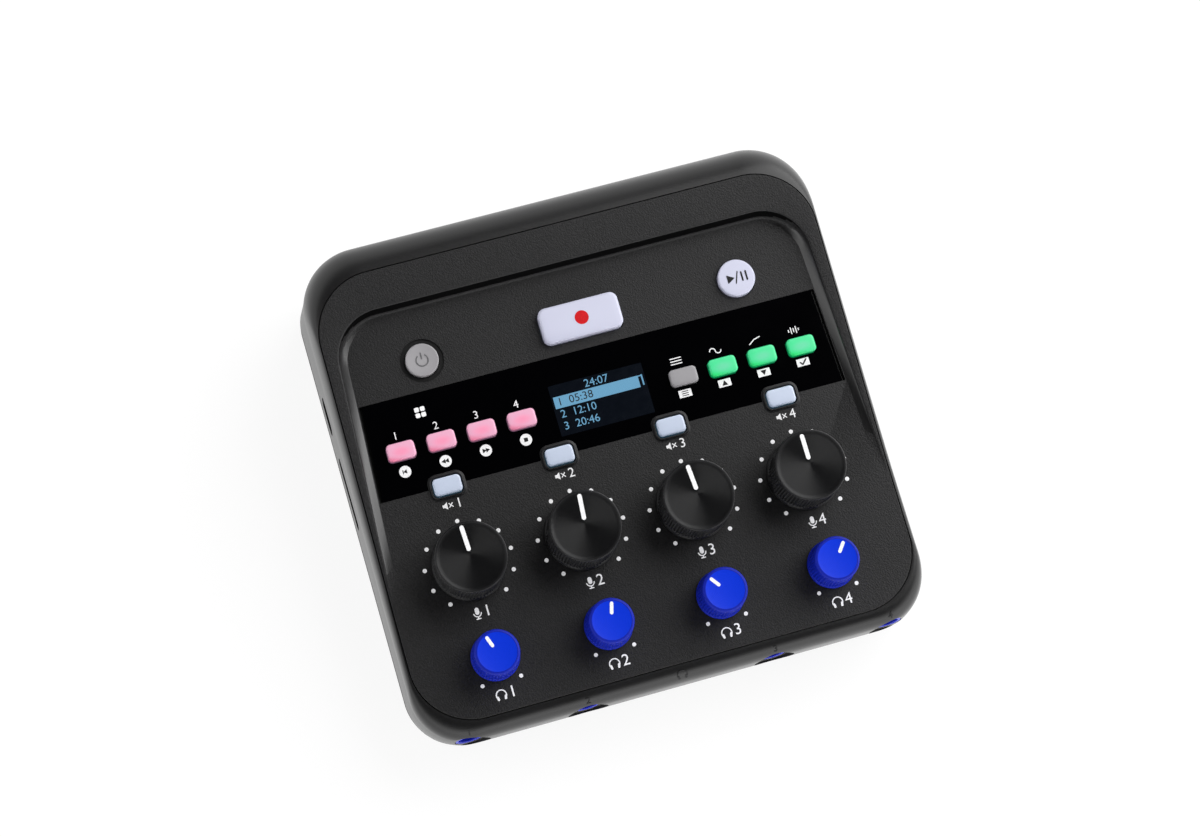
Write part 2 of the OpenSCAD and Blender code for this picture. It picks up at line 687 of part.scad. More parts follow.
// Port shell: a flat tube with round ends and a tongue inside
port_w = 9;
port_t = 3.2;
port_l = 9;
port_wall = 0.35;
port_y = wall_y(port_row);
port_z = main_top + port_t / 2;
port_x = -case_w / 2 + 1;
module at_port() { translate([port_x, port_y, port_z]) rotate([90, 0, 90]) children(); }
module charge_port() {
    color("#c4c7cb") at_port() {
        difference() {
            slab(port_w, port_t, port_t / 2 - tiny, 0, port_l);
            slab(port_w - 2 * port_wall, port_t - 2 * port_wall, port_t / 2 - port_wall - tiny, -1, port_l - 1);
        }
        translate([-port_w / 2 + 1.2, -0.35, 1]) cube([port_w - 2.4, 0.7, port_l - 1.5]);
    }
}
card_t = 1.9;
card_l = 15;
card_slot_t = 1.2;
card_y = wall_y(card_row);
card_z = main_top + card_t / 2;
card_x = -case_w / 2 + side_flare + wall + seat;
module at_card() { translate([card_x, card_y, card_z]) rotate([90, 0, 90]) children(); }
module card_socket() {
    color("#a9adb3") at_card() difference() {
        slab(card_w + 2, card_t, 0.3, 0, card_l);
        slab(card_w, card_slot_t, 0.2, -1, card_l - 1);
    }
}

// Slide switches in the right wall: a knob in a slot, and a body behind it
slide_t = 3;
slide_x = case_w / 2 - side_flare - wall;
slide_body_l = 5;
slide_root = 1.5;
slide_r = 0.6;
slide_list = [[slide_long_row, slide_long_l], [slide_short_row, slide_short_l]];
module at_slide(k) {
    translate([slide_x, wall_y(slide_list[k][0]), slide_z]) rotate([90, 0, 90]) children();
}
module slide_switch(k) {
    color("#2c2d30") at_slide(k) slab(slide_list[k][1], slide_t, slide_r, -slide_root, wall + slide_proud);
}
module slide_opening(k, gap, z0, z1) {
    slab(slide_list[k][1] + slide_travel + 2 * gap, slide_t + 2 * gap, slide_r + gap, z0, z1);
}
module slide_switch_bodies() {
    color("#5b6470") for (k = [0, 1]) at_slide(k) difference() {
        slab(slide_list[k][1] + slide_travel + 2.4, slide_t + 2.4, 0.8, -slide_body_l, -0.6);
        slide_opening(k, clear, -slide_root - clear, 1);
    }
}

// Screws from below through the bottom case into bosses of the top case
head_z = foot_h + floor_t + 1.5;
screw_l = 10;
module case_screws() {
    color("#8c9096") for (p = boss_places) translate(p) {
        rod(screw_head_d, head_z - 1.6, head_z);
        rod(screw_d, head_z - tiny, head_z + screw_l);
    }
}
// Rubber feet, sunk into the bottom
foot_seat = 0.8;
foot_margin = 1.5;
foot_x = boss_x - screw_head_d - foot_d / 2 - 2;
foot_y = case_d / 2 - front_draw(wall_share(foot_h)) - bottom_roll - foot_d / 2 - foot_margin;
module rubber_feet() {
    color("#0c0c0d") for (x = [-1, 1], y = [-1, 1]) translate([x * foot_x, y * foot_y])
        rotate_extrude() polygon([[0, 0], [foot_d / 2 - 0.6, 0], [foot_d / 2, 0.6],
            [foot_d / 2, foot_h + foot_seat], [0, foot_h + foot_seat]]);
}

// Top case: rolled walls, horseshoe rim, cove and sloped panel as one shell with its openings
module top_shell() {
    outer = concat([level(wall_half(1), split_h), level(wall_half(0.5), (split_h + wall_top) / 2)],
        [for (a = roll_angles) roll_ring(a)], [for (t = cove_steps) cove_ring(t)]);
    inner_wall = wall_half(0, wall);
    inner_top = rolled_half(1, wall);
    inner = [ring([for (p = inner_top) [p.x, p.y, panel_z(p.y) - panel_t / cos(panel_tilt)]]),
        ring([for (p = inner_wall) [p.x, p.y, panel_z(p.y) + rim_rise(p.y) - roll_h(p.y)]]),
        level(wall_half(1, wall), split_h)];
    loft(concat(inner, outer));
}
module panel_openings() {
    on_panel(0, 0, -strip_t) linear_extrude(strip_t + tiny) strip_outline(0);
    on_panel() translate([0, s_display]) slab(display_w + 2 * seat, display_l + 2 * seat, 0.6, -panel_t - 1, 0);
    for (i = [0:channels - 1]) {
        for (x = [pad_x(i), function_x(i)]) on_panel(x, s_keys) key_opening(key_w, key_d, key_r);
        on_panel(column_x(i), s_mute) key_opening(key_w, key_d, key_r);
        for (s = [s_gain, s_volume]) on_panel(column_x(i), s) rod(bush_d + 2 * clear, -panel_t - 1, 1);
    }
    on_panel(0, s_record) key_opening(record_w, record_d, record_r);
    on_panel(rounds_x, s_record) rod(play_d + 2 * clear, -panel_t - 1, 1);
    on_panel(-rounds_x, s_record) {
        rod(power_d + 2 * clear, -panel_t - 1, 1);
        rod(power_dish_d, -bezel_h / 2, 1);
    }
}
module wall_openings() {
    at_jacks() {
        rod(scoop_d, -roll_front, 0);
        rod(jack_ring_d + 2 * seat, -1, jack_block_y + 2);
        slab(jack_block_w + 2 * seat, jack_block_w + 2 * seat, 0.5 + seat, jack_block_y - seat, jack_l + jack_gap);
    }
    at_mics() {
        rod(mic_d + 2 * seat, -1, mic_inner + 6);
        slab(mic_flange_w + 2 * seat, mic_flange_h + 2 * seat, 1 + seat, mic_inner, mic_l);
    }
    at_port() {
        slab(port_w + 2 * seat, port_t + 2 * seat, port_t / 2 + seat - tiny, -2, wall + 2);
        slab(port_w + 3, port_t + 2.4, port_t / 2 + 1.2 - tiny, -2, 0);
    }
    at_card() {
        slab(card_w + 2 * seat, card_slot_t + 2 * seat, 0.4, -wall - 2, 1);
        slab(card_recess_l, card_t + 2.2, card_t / 2 + 1, -wall - 2, -wall);
    }
    for (k = [0, 1]) at_slide(k) slide_opening(k, clear, -2, wall + 2);
}
module top_case() {
    color("#222325") difference() {
        union() {
            top_shell();
            panel_posts();
            for (p = boss_places) translate(p) rod(boss_d, split_h, panel_z(p.y) - panel_t / 2);
        }
        panel_openings();
        wall_openings();
        for (p = boss_places) translate(p) rod(screw_d + 2 * running, split_h - 1, head_z + screw_l + 1);
        for (p = post_places) on_panel(p.x, p.y) rod(pilot_d + 2 * running, board_top - 1, -panel_t - 0.4);
    }
}

// Bottom case: a tray with a rolled lower edge, the battery bay, board posts and screw bosses
module bottom_case() {
    // Share of the lower edge's draw, and of the bottom's thickness, at each ring of the rolled edge
    edge = [[1, 0], [0.45, 0.4], [0.15, 1.1]];
    floor_z = foot_h + floor_t;
    tray = concat([for (e = edge) let (z = foot_h + floor_t * e.y)
        level(wall_half(wall_share(z), bottom_roll * e.x), z)], [level(wall_half(1), split_h)]);
    tray_inner = [level(wall_half(wall_share(floor_z), bottom_roll * edge[2].x + wall), floor_z),
        level(wall_half(1, wall), split_h + 1)];
    color("#1a1b1d") difference() {
        union() {
            difference() {
                loft(tray);
                loft(tray_inner);
            }
            bay_box(bay_wall, floor_z - tiny, bay_top + bay_wall);
            bay_box(door_lip + bay_wall, floor_z - tiny, foot_h + door_room + frame_t, door_travel);
            for (p = main_posts) translate(p) rod(post_d, floor_z - tiny, main_board_z);
            for (p = boss_places) translate(p) rod(boss_d + 2, floor_z - tiny, split_h);
        }
        bay_box(0, foot_h - 1, bay_top);
        door_space();
        for (p = boss_places) translate(p) {
            rod(screw_head_d + 2 * seat, foot_h - 1, head_z);
            rod(screw_d + 2 * seat, foot_h, split_h + 1);
        }
        for (x = [-1, 1], y = [-1, 1]) translate([x * foot_x, y * foot_y])
            rod(foot_d + 2 * seat, foot_h - 1, foot_h + foot_seat);
    }
}

module record_button() {
    color("#dcdde8") on_panel(0, s_record) key(record_w, record_d, record_r, record_h, record_chamfer);
}
module play_button() { color("#dcdde8") on_panel(rounds_x, s_record) round_key(play_d, round_h, 0); }
power_drop = 0.6;
power_hollow = 0.3;
module power_button() {
    color("#b4b4b6") on_panel(-rounds_x, s_record) round_key(power_d, round_h - power_drop, power_hollow);
}
module pad_button(i) {
    color("#f7a0b8") on_panel(pad_x(i), s_keys) key(key_w, key_d, key_r, key_h, key_chamfer);
}
module function_button(i) {
    color(i == 0 ? "#aeaaa5" : "#70e29a") on_panel(function_x(i), s_keys)
        key(key_w, key_d, key_r, key_h, key_chamfer);
}
module mute_button(i) {
    color("#d3dcf0") on_panel(column_x(i), s_mute) key(key_w, key_d, key_r, key_h, key_chamfer);
}

top_case();
bottom_case();
display_strip();
display_module();
panel_board();
board_screws();
main_board();
key_switches();
gain_controls();
volume_controls();
mute_bezels();
mic_sockets();
mic_contacts();
headphone_jacks();
headphone_rings();
charge_port();
card_socket();
slide_switch_bodies();
battery_cells();
battery_contacts();
battery_door();
rubber_feet();
case_screws();
record_button();
play_button();
power_button();
slide_switch(0);  // slide_switch_long
slide_switch(1);  // slide_switch_short
for (i = [0:channels - 1]) {
    gain_knob(i);
    gain_shaft(i);
    volume_knob(i);
    volume_shaft(i);
    pad_button(i);
    function_button(i);
    mute_button(i);
}
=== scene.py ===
import bpy, json, math
import numpy as np
from mathutils import Matrix

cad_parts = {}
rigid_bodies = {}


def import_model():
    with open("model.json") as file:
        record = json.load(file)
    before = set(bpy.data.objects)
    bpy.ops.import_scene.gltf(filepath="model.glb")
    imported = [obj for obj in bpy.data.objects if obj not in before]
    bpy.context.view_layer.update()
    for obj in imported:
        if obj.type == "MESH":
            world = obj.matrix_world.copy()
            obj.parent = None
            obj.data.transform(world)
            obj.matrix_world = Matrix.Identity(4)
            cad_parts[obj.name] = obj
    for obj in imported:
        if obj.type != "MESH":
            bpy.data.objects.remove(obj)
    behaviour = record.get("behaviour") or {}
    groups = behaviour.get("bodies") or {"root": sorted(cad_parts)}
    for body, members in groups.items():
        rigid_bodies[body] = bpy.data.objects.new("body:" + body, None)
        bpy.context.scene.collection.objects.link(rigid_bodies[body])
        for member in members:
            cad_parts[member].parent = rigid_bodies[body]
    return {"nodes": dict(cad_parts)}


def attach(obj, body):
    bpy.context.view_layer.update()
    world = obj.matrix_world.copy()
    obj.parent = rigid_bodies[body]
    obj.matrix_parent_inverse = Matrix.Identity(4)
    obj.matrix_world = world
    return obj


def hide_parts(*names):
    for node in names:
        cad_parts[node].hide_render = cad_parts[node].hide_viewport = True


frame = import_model()
scene = bpy.context.scene
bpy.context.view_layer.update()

# camera at the photo's view, fitted to the dots round the knobs; millimetres, unit axes
camera = {"place": (-118.055, -225.885, 862.348), "lens": 90, "sensor": 36,
          "right": (0.957967, -0.281479, 0.055394),
          "up": (0.254021, 0.922015, 0.292166),
          "back": (-0.133313, -0.265814, 0.954762)}
camData = bpy.data.cameras.new("camera")
camData.lens, camData.sensor_width, camData.sensor_fit = camera["lens"], camera["sensor"], "HORIZONTAL"
camObj = bpy.data.objects.new("camera", camData)
scene.collection.objects.link(camObj)
turn = np.column_stack([camera["right"], camera["up"], camera["back"], np.array(camera["place"]) / 1000])
camObj.matrix_world = Matrix(np.vstack([turn, (0, 0, 0, 1)]).tolist())
scene.camera = camObj
print("camera set")


class Wire:  # one output socket; arithmetic on it adds Math nodes
    def __init__(self, tree, out=None):
        self.tree, self.out = tree, out

    def node(self, kind, settings={}, sockets={}, out=0):  # any node: its settings first, then its sockets
        made = self.tree.nodes.new(kind)
        for key, value in settings.items():
            setattr(made, key, value)
        for key, value in sockets.items():
            if isinstance(value, Wire):
                self.tree.links.new(value.out, made.inputs[key])
            else:
                made.inputs[key].default_value = value
        return Wire(self.tree, made.outputs[out] if made.outputs else None)

    def math(self, operation, a, b=0.0):
        return self.node("ShaderNodeMath", {"operation": operation}, {0: a, 1: b})

    def sine(self): return self.math("SINE", self)
    def __add__(self, other): return self.math("ADD", self, other)
    def __radd__(self, other): return self.math("ADD", other, self)
    def __sub__(self, other): return self.math("SUBTRACT", self, other)
    def __rsub__(self, other): return self.math("SUBTRACT", other, self)
    def __mul__(self, other): return self.math("MULTIPLY", self, other)
    def __rmul__(self, other): return self.math("MULTIPLY", other, self)
    def __pow__(self, other): return self.math("POWER", self, other)
    def __gt__(self, other): return self.math("GREATER_THAN", self, other)

    def noise(self, scale, detail=2.0, rough=0.5):  # soft cloud from 0 to 1 on these coordinates
        return self.node("ShaderNodeTexNoise", {}, {"Vector": self, "Scale": scale, "Detail": detail, "Roughness": rough})

    def cells(self, scale):  # distance to the nearest of many scattered points
        return self.node("ShaderNodeTexVoronoi", {"feature": "SMOOTH_F1"},
                         {"Vector": self, "Scale": scale, "Smoothness": 0.6})

    def between(self, low, high):  # 0 below low, 1 above high, smooth between
        return self.node("ShaderNodeMapRange", {"interpolation_type": "SMOOTHSTEP"},
                         {"Value": self, "From Min": low, "From Max": high})

    def mix(self, a, b):  # colour a where this is 0, colour b where it is 1
        return self.node("ShaderNodeMix", {"data_type": "RGBA"}, {0: self, 6: a, 7: b}, 2)

    def bump(self, strength, distance):
        return self.node("ShaderNodeBump", {}, {"Height": self, "Strength": strength, "Distance": distance})

    def part(self, axis):  # one axis of a vector
        return self.node("ShaderNodeSeparateXYZ", {}, {0: self}, axis)


def startFinish(name, **fixed):  # a Principled finish; fixed values go straight onto its sockets
    mat = bpy.data.materials.new(name)
    mat.use_nodes = True
    bsdf = next(n for n in mat.node_tree.nodes if n.type == "BSDF_PRINCIPLED")
    for key, value in fixed.items():
        bsdf.inputs[key.replace("_", " ")].default_value = value
    root = Wire(mat.node_tree)
    coords = root.node("ShaderNodeTexCoord", {}, {}, "Object")
    uv = root.node("ShaderNodeTexCoord", {}, {}, "UV")

    def feed(links):
        for key, wire in links.items():
            mat.node_tree.links.new(wire.out, bsdf.inputs[key])
        return mat
    return coords, uv, feed


def rgb(r, g, b): return (r, g, b, 1.0)


def mouldedFinish(name, dark, light, scale, rough, spread, bump, depth, shine=0.5):  # plastic with a spark-eroded grain
    p, uv, feed = startFinish(name, IOR=1.47, Specular_IOR_Level=shine)
    pebble, cloud, fine = p.cells(scale), p.noise(scale * 0.45, 3.0), p.noise(scale * 2.3, 2.0)
    grain = pebble * 0.55 + cloud * 0.3 + fine * 0.35
    return feed({"Base Color": grain.between(0.25, 0.85).mix(rgb(*dark), rgb(*light)),
                 "Roughness": grain * spread + rough,
                 "Normal": grain.bump(bump, depth)})


moulded = {  # dark and light tone, grain scale, roughness and its spread, bump and its depth, shine
    "panel grain": ((0.0015, 0.0014, 0.0017), (0.0095, 0.009, 0.0098), 2200, 0.42, 0.2, 0.75, 0.00014),
    "bottom grain": ((0.012, 0.012, 0.013), (0.028, 0.028, 0.03), 1200, 0.5, 0.2, 0.5, 0.00016),
    "satin shell": ((0.006, 0.0059, 0.0062), (0.009, 0.0088, 0.0092), 2600, 0.3, 0.1, 0.08, 0.00005),
    "bevel satin": ((0.005, 0.0049, 0.0052), (0.008, 0.0078, 0.0082), 2600, 0.26, 0.1, 0.08, 0.00005, 0.85),
    # near black with hardly any shine: painted shade for the upright part of the recess's back wall
    "rear wall": ((0.0008, 0.0008, 0.0009), (0.0018, 0.0018, 0.0019), 2200, 0.6, 0.1, 0.3, 0.0001, 0.06),
    "inner plastic": ((0.016, 0.016, 0.018), (0.03, 0.03, 0.033), 1500, 0.45, 0.2, 0.3, 0.0001),
    "socket plastic": ((0.012, 0.012, 0.013), (0.022, 0.022, 0.024), 1800, 0.36, 0.2, 0.25, 0.0001),
    "bezel plastic": ((0.006, 0.006, 0.007), (0.011, 0.011, 0.012), 2200, 0.34, 0.14, 0.15, 0.00006),
    "switch plastic": ((0.014, 0.014, 0.015), (0.026, 0.026, 0.028), 2000, 0.38, 0.15, 0.2, 0.00006),
    "rubber foot": ((0.008, 0.008, 0.009), (0.018, 0.018, 0.019), 1300, 0.75, 0.15, 0.4, 0.00015)}
(panelGrain, bottomGrain, satinShell, bevelSatin, paintedRearShade, innerPlastic, socketPlastic, bezelPlastic, switchPlastic,
 rubberFoot) = (mouldedFinish(name, *values) for name, values in moulded.items())
print("moulded finishes made")


def glossFinish():  # polished black strip with faint smears
    p, uv, feed = startFinish("gloss strip", IOR=1.4, Coat_Roughness=0.03)
    smear = p.noise(60, 4.0, 0.6)
    return feed({"Base Color": smear.mix(rgb(0.0002, 0.0002, 0.0005), rgb(0.0005, 0.0005, 0.0009)),
                 "Roughness": smear * 0.08 + 0.05,
                 "Coat Weight": smear * 0.2 + 0.05})


def metalFinish(name, dark, light, rough, scale):  # stamped or turned metal with fine scratches
    p, uv, feed = startFinish(name, Metallic=1.0)
    scratch = p.node("ShaderNodeMapping", {}, {"Vector": p, "Scale": (1, 1, 14)}).noise(scale, 3.0, 0.6)
    return feed({"Base Color": scratch.mix(rgb(*dark), rgb(*light)),
                 "Roughness": scratch * 0.2 + rough,
                 "Normal": scratch.bump(0.12, 0.00004)})


def boardFinish():  # lacquered circuit board with fine copper runs under the lacquer
    p, uv, feed = startFinish("board lacquer", Coat_Weight=0.4, Coat_Roughness=0.15)
    runs = p.node("ShaderNodeTexWave", {"wave_type": "BANDS", "bands_direction": "X"},
                  {"Vector": p, "Scale": 120.0, "Distortion": 6.0, "Detail": 0.0, "Detail Scale": 0.6})
    return feed({"Base Color": (runs > 0.75).mix(rgb(0.012, 0.09, 0.035), rgb(0.03, 0.17, 0.06)),
                 "Roughness": p.noise(900) * 0.2 + 0.3})


def printFinish(name, dark, light, glow=0.0):  # slightly uneven printed ink; glow is painted light that keeps white ink white in the shade
    p, uv, feed = startFinish(name, Specular_IOR_Level=0.3, Emission_Strength=glow)
    patch = p.noise(1800, 3.0)
    shade = patch.between(0.3, 0.7).mix(rgb(*dark), rgb(*light))
    return feed({"Base Color": shade, "Emission Color": shade, "Roughness": patch * 0.2 + 0.45})


def litFinish(name, low, edge, middle, glowEdge, glowMiddle, rough):
    # translucent key lit from below: brightest at its middle, deeper at its lower left, where the deeper tone is
    # painted shade
    p, uv, feed = startFinish(name, IOR=1.48, Emission_Strength=1.0, Coat_Weight=0.25, Coat_Roughness=0.2)
    u, v = uv.part(0) - 0.5, uv.part(1) - 0.45
    reach = (u * u * 3.2 + v * v * 4.6) ** 0.5
    glow = (1 - reach.between(0.1, 0.85)) * 0.85 + p.noise(700, 2.0) * 0.15
    # each key's lower left is mixed toward a deeper tone: painted shade
    paintedShadeSlant = (u * 0.5 + v).between(-0.62, -0.22)
    return feed({"Base Color": paintedShadeSlant.mix(rgb(*low), glow.mix(rgb(*edge), rgb(*middle))),
                 "Emission Color": glow.mix(rgb(*glowEdge), rgb(*glowMiddle)),
                 "Roughness": p.noise(2500, 2.0) * 0.12 + rough})


def knobFinish(name, side, top, rough, topRough, rings, spun, shine):
    # turned knob: uv x is the way in from the edge, y the way round
    p, uv, feed = startFinish(name, IOR=1.5, Anisotropic=spun, Anisotropic_Rotation=0.25, Specular_IOR_Level=shine)
    inward = uv.part(0)
    face = inward > 0.5
    groove = (inward * rings).sine()
    haze = p.noise(1600, 3.0)
    wallTone = haze.mix(rgb(*[c * 0.8 for c in side]), rgb(*side))
    faceTone = haze.mix(rgb(*[c * 0.9 for c in top]), rgb(*top))
    return feed({"Base Color": face.mix(wallTone, faceTone),
                 "Roughness": face * (topRough - rough) + haze * 0.12 + rough,
                 "Normal": (groove * face).bump(0.12, 0.00003)})


glossStrip = glossFinish()
boardLacquer = boardFinish()
metals = {"steel": ((0.5, 0.5, 0.51), (0.66, 0.66, 0.67), 0.22, 300),
          "gold plate": ((0.62, 0.42, 0.14), (0.8, 0.58, 0.24), 0.2, 300),
          "cell jacket": ((0.12, 0.125, 0.14), (0.2, 0.21, 0.23), 0.35, 200)}
steelFinish, brassFinish, cellFinish = (metalFinish(name, *values) for name, values in metals.items())
# the white ink's third value is its glow, painted light, since the ink is no lamp
inks = {"white ink": ((0.66, 0.66, 0.67), (0.8, 0.8, 0.81), 0.35),
        "dark ink": ((0.006, 0.006, 0.007), (0.014, 0.014, 0.015)),
        "red ink": ((0.55, 0.0, 0.004), (0.7, 0.0, 0.006)),
        "grey ink": ((0.12, 0.12, 0.125), (0.16, 0.16, 0.165))}
whiteInkPaintedGlow, darkInk, redInk, greyInk = (printFinish(name, *values) for name, values in inks.items())
unlit, paleGlow, buttonGlow = (0.0, 0.0, 0.0), (0.01, 0.035, 0.055), (0.02, 0.02, 0.03)
lit = {  # lower-left tone (painted shade), edge and middle tone, glow at the edge and at the middle, roughness
    "pink lit key": ((0.8, 0.16, 0.28), (0.8, 0.4, 0.54), (0.85, 0.28, 0.43), (0.13, 0.07, 0.11), (0.2, 0.065, 0.11), 0.36),
    "green lit key": ((0.01, 0.66, 0.13), (0.06, 0.68, 0.28), (0.14, 0.69, 0.39), (0.0, 0.15, 0.05), (0.015, 0.08, 0.045), 0.36),
    "pale lit key": ((0.56, 0.61, 0.76), (0.62, 0.67, 0.81), (0.64, 0.69, 0.84), paleGlow, paleGlow, 0.36),
    "pale button": ((0.58, 0.59, 0.73), (0.62, 0.63, 0.77), (0.63, 0.645, 0.785), buttonGlow, buttonGlow, 0.4),
    "grey key": ((0.3, 0.29, 0.305), (0.345, 0.335, 0.35), (0.355, 0.345, 0.36), unlit, unlit, 0.42),
    "power button grey": ((0.32, 0.31, 0.325), (0.345, 0.335, 0.35), (0.365, 0.355, 0.37), unlit, unlit, 0.42)}
pinkKey, greenKey, paleKey, palePlastic, greyKey, powerGrey = (litFinish(name, *values) for name, values in lit.items())
turnedTones = {  # side and top tone, roughness of each, rings of the face, how far it is spun, shine
    "black knob": ((0.009, 0.009, 0.01), (0.004, 0.004, 0.0045), 0.34, 0.28, 420, 0.9, 0.35),
    # the blue knob's side tone is the top's blue darkened: painted shade on the side
    "blue knob, painted side shade": ((0.003, 0.016, 0.42), (0.001, 0.036, 0.73), 0.4, 0.36, 160, 0.0, 0.2),
    "blue ring": ((0.006, 0.022, 0.6), (0.008, 0.03, 0.62), 0.35, 0.35, 0, 0.0, 0.4)}
blackKnob, blueKnob, blueRing = (knobFinish(name, *values) for name, values in turnedTones.items())


def litInk():  # lit picture elements of the display
    p, uv, feed = startFinish("lit picture", Roughness=0.4, Emission_Strength=1.0, Specular_IOR_Level=0.2)
    dots = p.node("ShaderNodeTexChecker", {}, {"Vector": p, "Scale": 4600.0}, 1)
    return feed({"Emission Color": dots.mix(rgb(0.1, 0.27, 0.43), rgb(0.15, 0.36, 0.54)),
                 "Base Color": dots.mix(rgb(0.02, 0.04, 0.06), rgb(0.02, 0.05, 0.07))})


def darkGlass():  # unlit ground of the display, a shade bluer than the strip
    p, uv, feed = startFinish("display ground", IOR=1.46, Emission_Strength=1.0)
    haze = p.noise(400, 2.0)
    return feed({"Base Color": haze.mix(rgb(0.0015, 0.002, 0.003), rgb(0.002, 0.003, 0.0045)),
                 "Emission Color": haze.mix(rgb(0.0008, 0.0014, 0.003), rgb(0.0016, 0.0026, 0.0052)),
                 "Roughness": haze * 0.1 + 0.1})


litPicture, displayGround = litInk(), darkGlass()
print("finishes made:", len(bpy.data.materials))


def facing(origin, across, up):  # a place on a face: local x goes across, y up, n out of it; millimetres
    o, a, u = (np.array(v, float) for v in (origin, across, up))
    out = np.cross(a, u)

    def place(x, y, n):
        x, y, n = np.broadcast_arrays(np.asarray(x, float), np.asarray(y, float), np.asarray(n, float))
        return o + x[..., None] * a + y[..., None] * u + n[..., None] * out
    return place


panel = {"tilt": 6, "creaseY": -69.4, "creaseZ": 26.5, "columns": (-50.25, -16.75, 16.75, 50.25),
         "rowVolume": 15.9, "rowGain": 43.5, "rowMute": 66.9, "rowKeys": 80.0, "rowRecord": 104.2}
tiltCos, tiltSin = math.cos(math.radians(panel["tilt"])), math.sin(math.radians(panel["tilt"]))


def panelAt(x, s):  # a place on the sloped panel, s measured up it from the front crease
    return facing((x, panel["creaseY"] + s * tiltCos, panel["creaseZ"] + s * tiltSin), (1, 0, 0), (0, tiltCos, tiltSin))


def gridFaces(rows, cols, around=False):  # quads of a grid whose columns close round, and its rows too where asked
    r, c = np.arange(rows if around else rows - 1)[:, None], np.arange(cols)[None, :]
    here, there, d = r * cols, (r + 1) % rows * cols, (c + 1) % cols
    return np.stack([here + c, here + d, there + d, there + c], -1).reshape(-1, 4)


def closedSkin(rings):  # a closed section carried round a loop
    return rings.reshape(-1, 3), gridFaces(*rings.shape[:2], True).tolist()


def skin(rings, fanTop=True, fanBottom=True):  # stacked rings; each end is closed by a fan to its middle, or by one face
    rows, cols = rings.shape[:2]
    points, faces = rings.reshape(-1, 3), gridFaces(rows, cols).tolist()
    j = np.arange(cols)
    k, last = (j + 1) % cols, (rows - 1) * cols
    if fanTop:
        points = np.vstack([points, rings[-1].mean(0)])
        faces += np.stack([last + j, last + k, np.full(cols, len(points) - 1)], -1).tolist()
    else:
        faces.append((last + j).tolist())
    if fanBottom:
        points = np.vstack([points, rings[0].mean(0)])
        faces += np.stack([k, j, np.full(cols, len(points) - 1)], -1).tolist()
    else:
        faces.append(j[::-1].tolist())
    return points, faces


def joined(shapes):  # several shapes as one list of points and faces
    points, faces, start = [], [], 0
    for p, f in shapes:
        points.append(p)
        faces += [[i + start for i in face] for face in f]
        start += len(p)
    return np.vstack(points), faces


def makeMesh(name, shape, finish, sharp=40, uv=None):
    points, faces = shape
    mesh = bpy.data.meshes.new(name)
    mesh.from_pydata((np.asarray(points) / 1000).tolist(), [], faces)
    for m in finish if isinstance(finish, (list, tuple)) else [finish]:
        mesh.materials.append(m)
    mesh.polygons.foreach_set("use_smooth", np.ones(len(mesh.polygons), bool))
    mesh.set_sharp_from_angle(angle=math.radians(sharp))
    if uv is not None:
        corners = np.zeros(len(mesh.loops), np.int32)
        mesh.loops.foreach_get("vertex_index", corners)
        layer = mesh.uv_layers.new(name="face")
        layer.uv.foreach_set("vector", np.asarray(uv, np.float32)[corners].ravel())
    mesh.update()
    obj = bpy.data.objects.new(name, mesh)
    scene.collection.objects.link(obj)
    return obj


def fit(obj, body, slotName, *nodes):  # the piece rides on a body, and stands for the CAD nodes named
    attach(obj, body)
    if nodes:
        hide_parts(*nodes)
    return obj


def putPiece(name, shape, finish, sharp, body, slotName, *nodes, uv=None):  # a finished mesh on its body
    return fit(makeMesh(name, shape, finish, sharp, uv), body, slotName, *nodes)


def arc(cx, cy, r, a0, a1, n):  # points on a circle, both ends kept
    a = np.radians(np.linspace(a0, a1, n + 1))
    return np.stack([cx + r * np.cos(a), cy + r * np.sin(a)], -1)


def quarter(cx, cy, r, a0, a1, n=5):  # rounding of a section
    return [tuple(p) for p in arc(cx, cy, r, a0, a1, n)]


def within(p, q, n):  # points on a straight line, both ends left out
    return np.array(p, float) + (np.array(q, float) - np.array(p, float)) * (np.arange(1, n)[:, None] / n)


def roundedLoop(w, d, r, n=8):  # rounded rectangle: four quarter circles joined by straight sides
    x, y = w / 2 - r, d / 2 - r
    corners = ((x, -y, -90), (x, y, 0), (-x, y, 90), (-x, -y, 180))
    return np.concatenate([arc(cx, cy, r, a, a + 90, n) for cx, cy, a in corners])


def prism(outline, place, n0, n1):  # an outline carried straight from n0 to n1
    loop = np.asarray(outline, float)
    return skin(np.stack([place(loop[:, 0], loop[:, 1], n0), place(loop[:, 0], loop[:, 1], n1)]), False, False)


def disc(x, y, r, n=24): return arc(x, y, r, 0, 360 - 360 / n, n - 1)


# case outline in finer steps than the solid; its rear roll, rear corners and bevel are fitted to the photo
case = {"w": 155, "d": 148, "frontH": 26.5, "rimStart": 38.5, "rimH": 4.9, "rimD": 11.1, "rimFrontW": 0.8, "rimRearW": 4.4,
        "creaseR": 18, "recessR": 14, "coveW": 2.3, "rollSide": 1.9, "rollFront": 4.6, "rollRear": 12, "rollFrontH": 6,
        "rollRearH": 15, "flare": 0.8, "tuck": 1.6, "frontR": 16, "rearR": 17.5, "jointR": 13, "wall": 2.4, "panelT": 2.6,
        "split": 9, "floorT": 2, "bottomRoll": 4, "footH": 2, "corner": 22, "side": 26, "rollSteps": 14, "coveSteps": 12,
        "edge": 0.45, "groove": 0.28, "grooveDeep": 0.5, "seam": 0.35, "upright": 7, "paintedShadeRows": 5, "sharp": 28}
creaseHw = case["w"] / 2 - case["flare"] - case["rollSide"]
creaseY0, creaseY1 = -case["d"] / 2 + case["rollFront"], case["d"] / 2 - case["rollRear"]
riseY = creaseY0 + case["rimStart"] * tiltCos
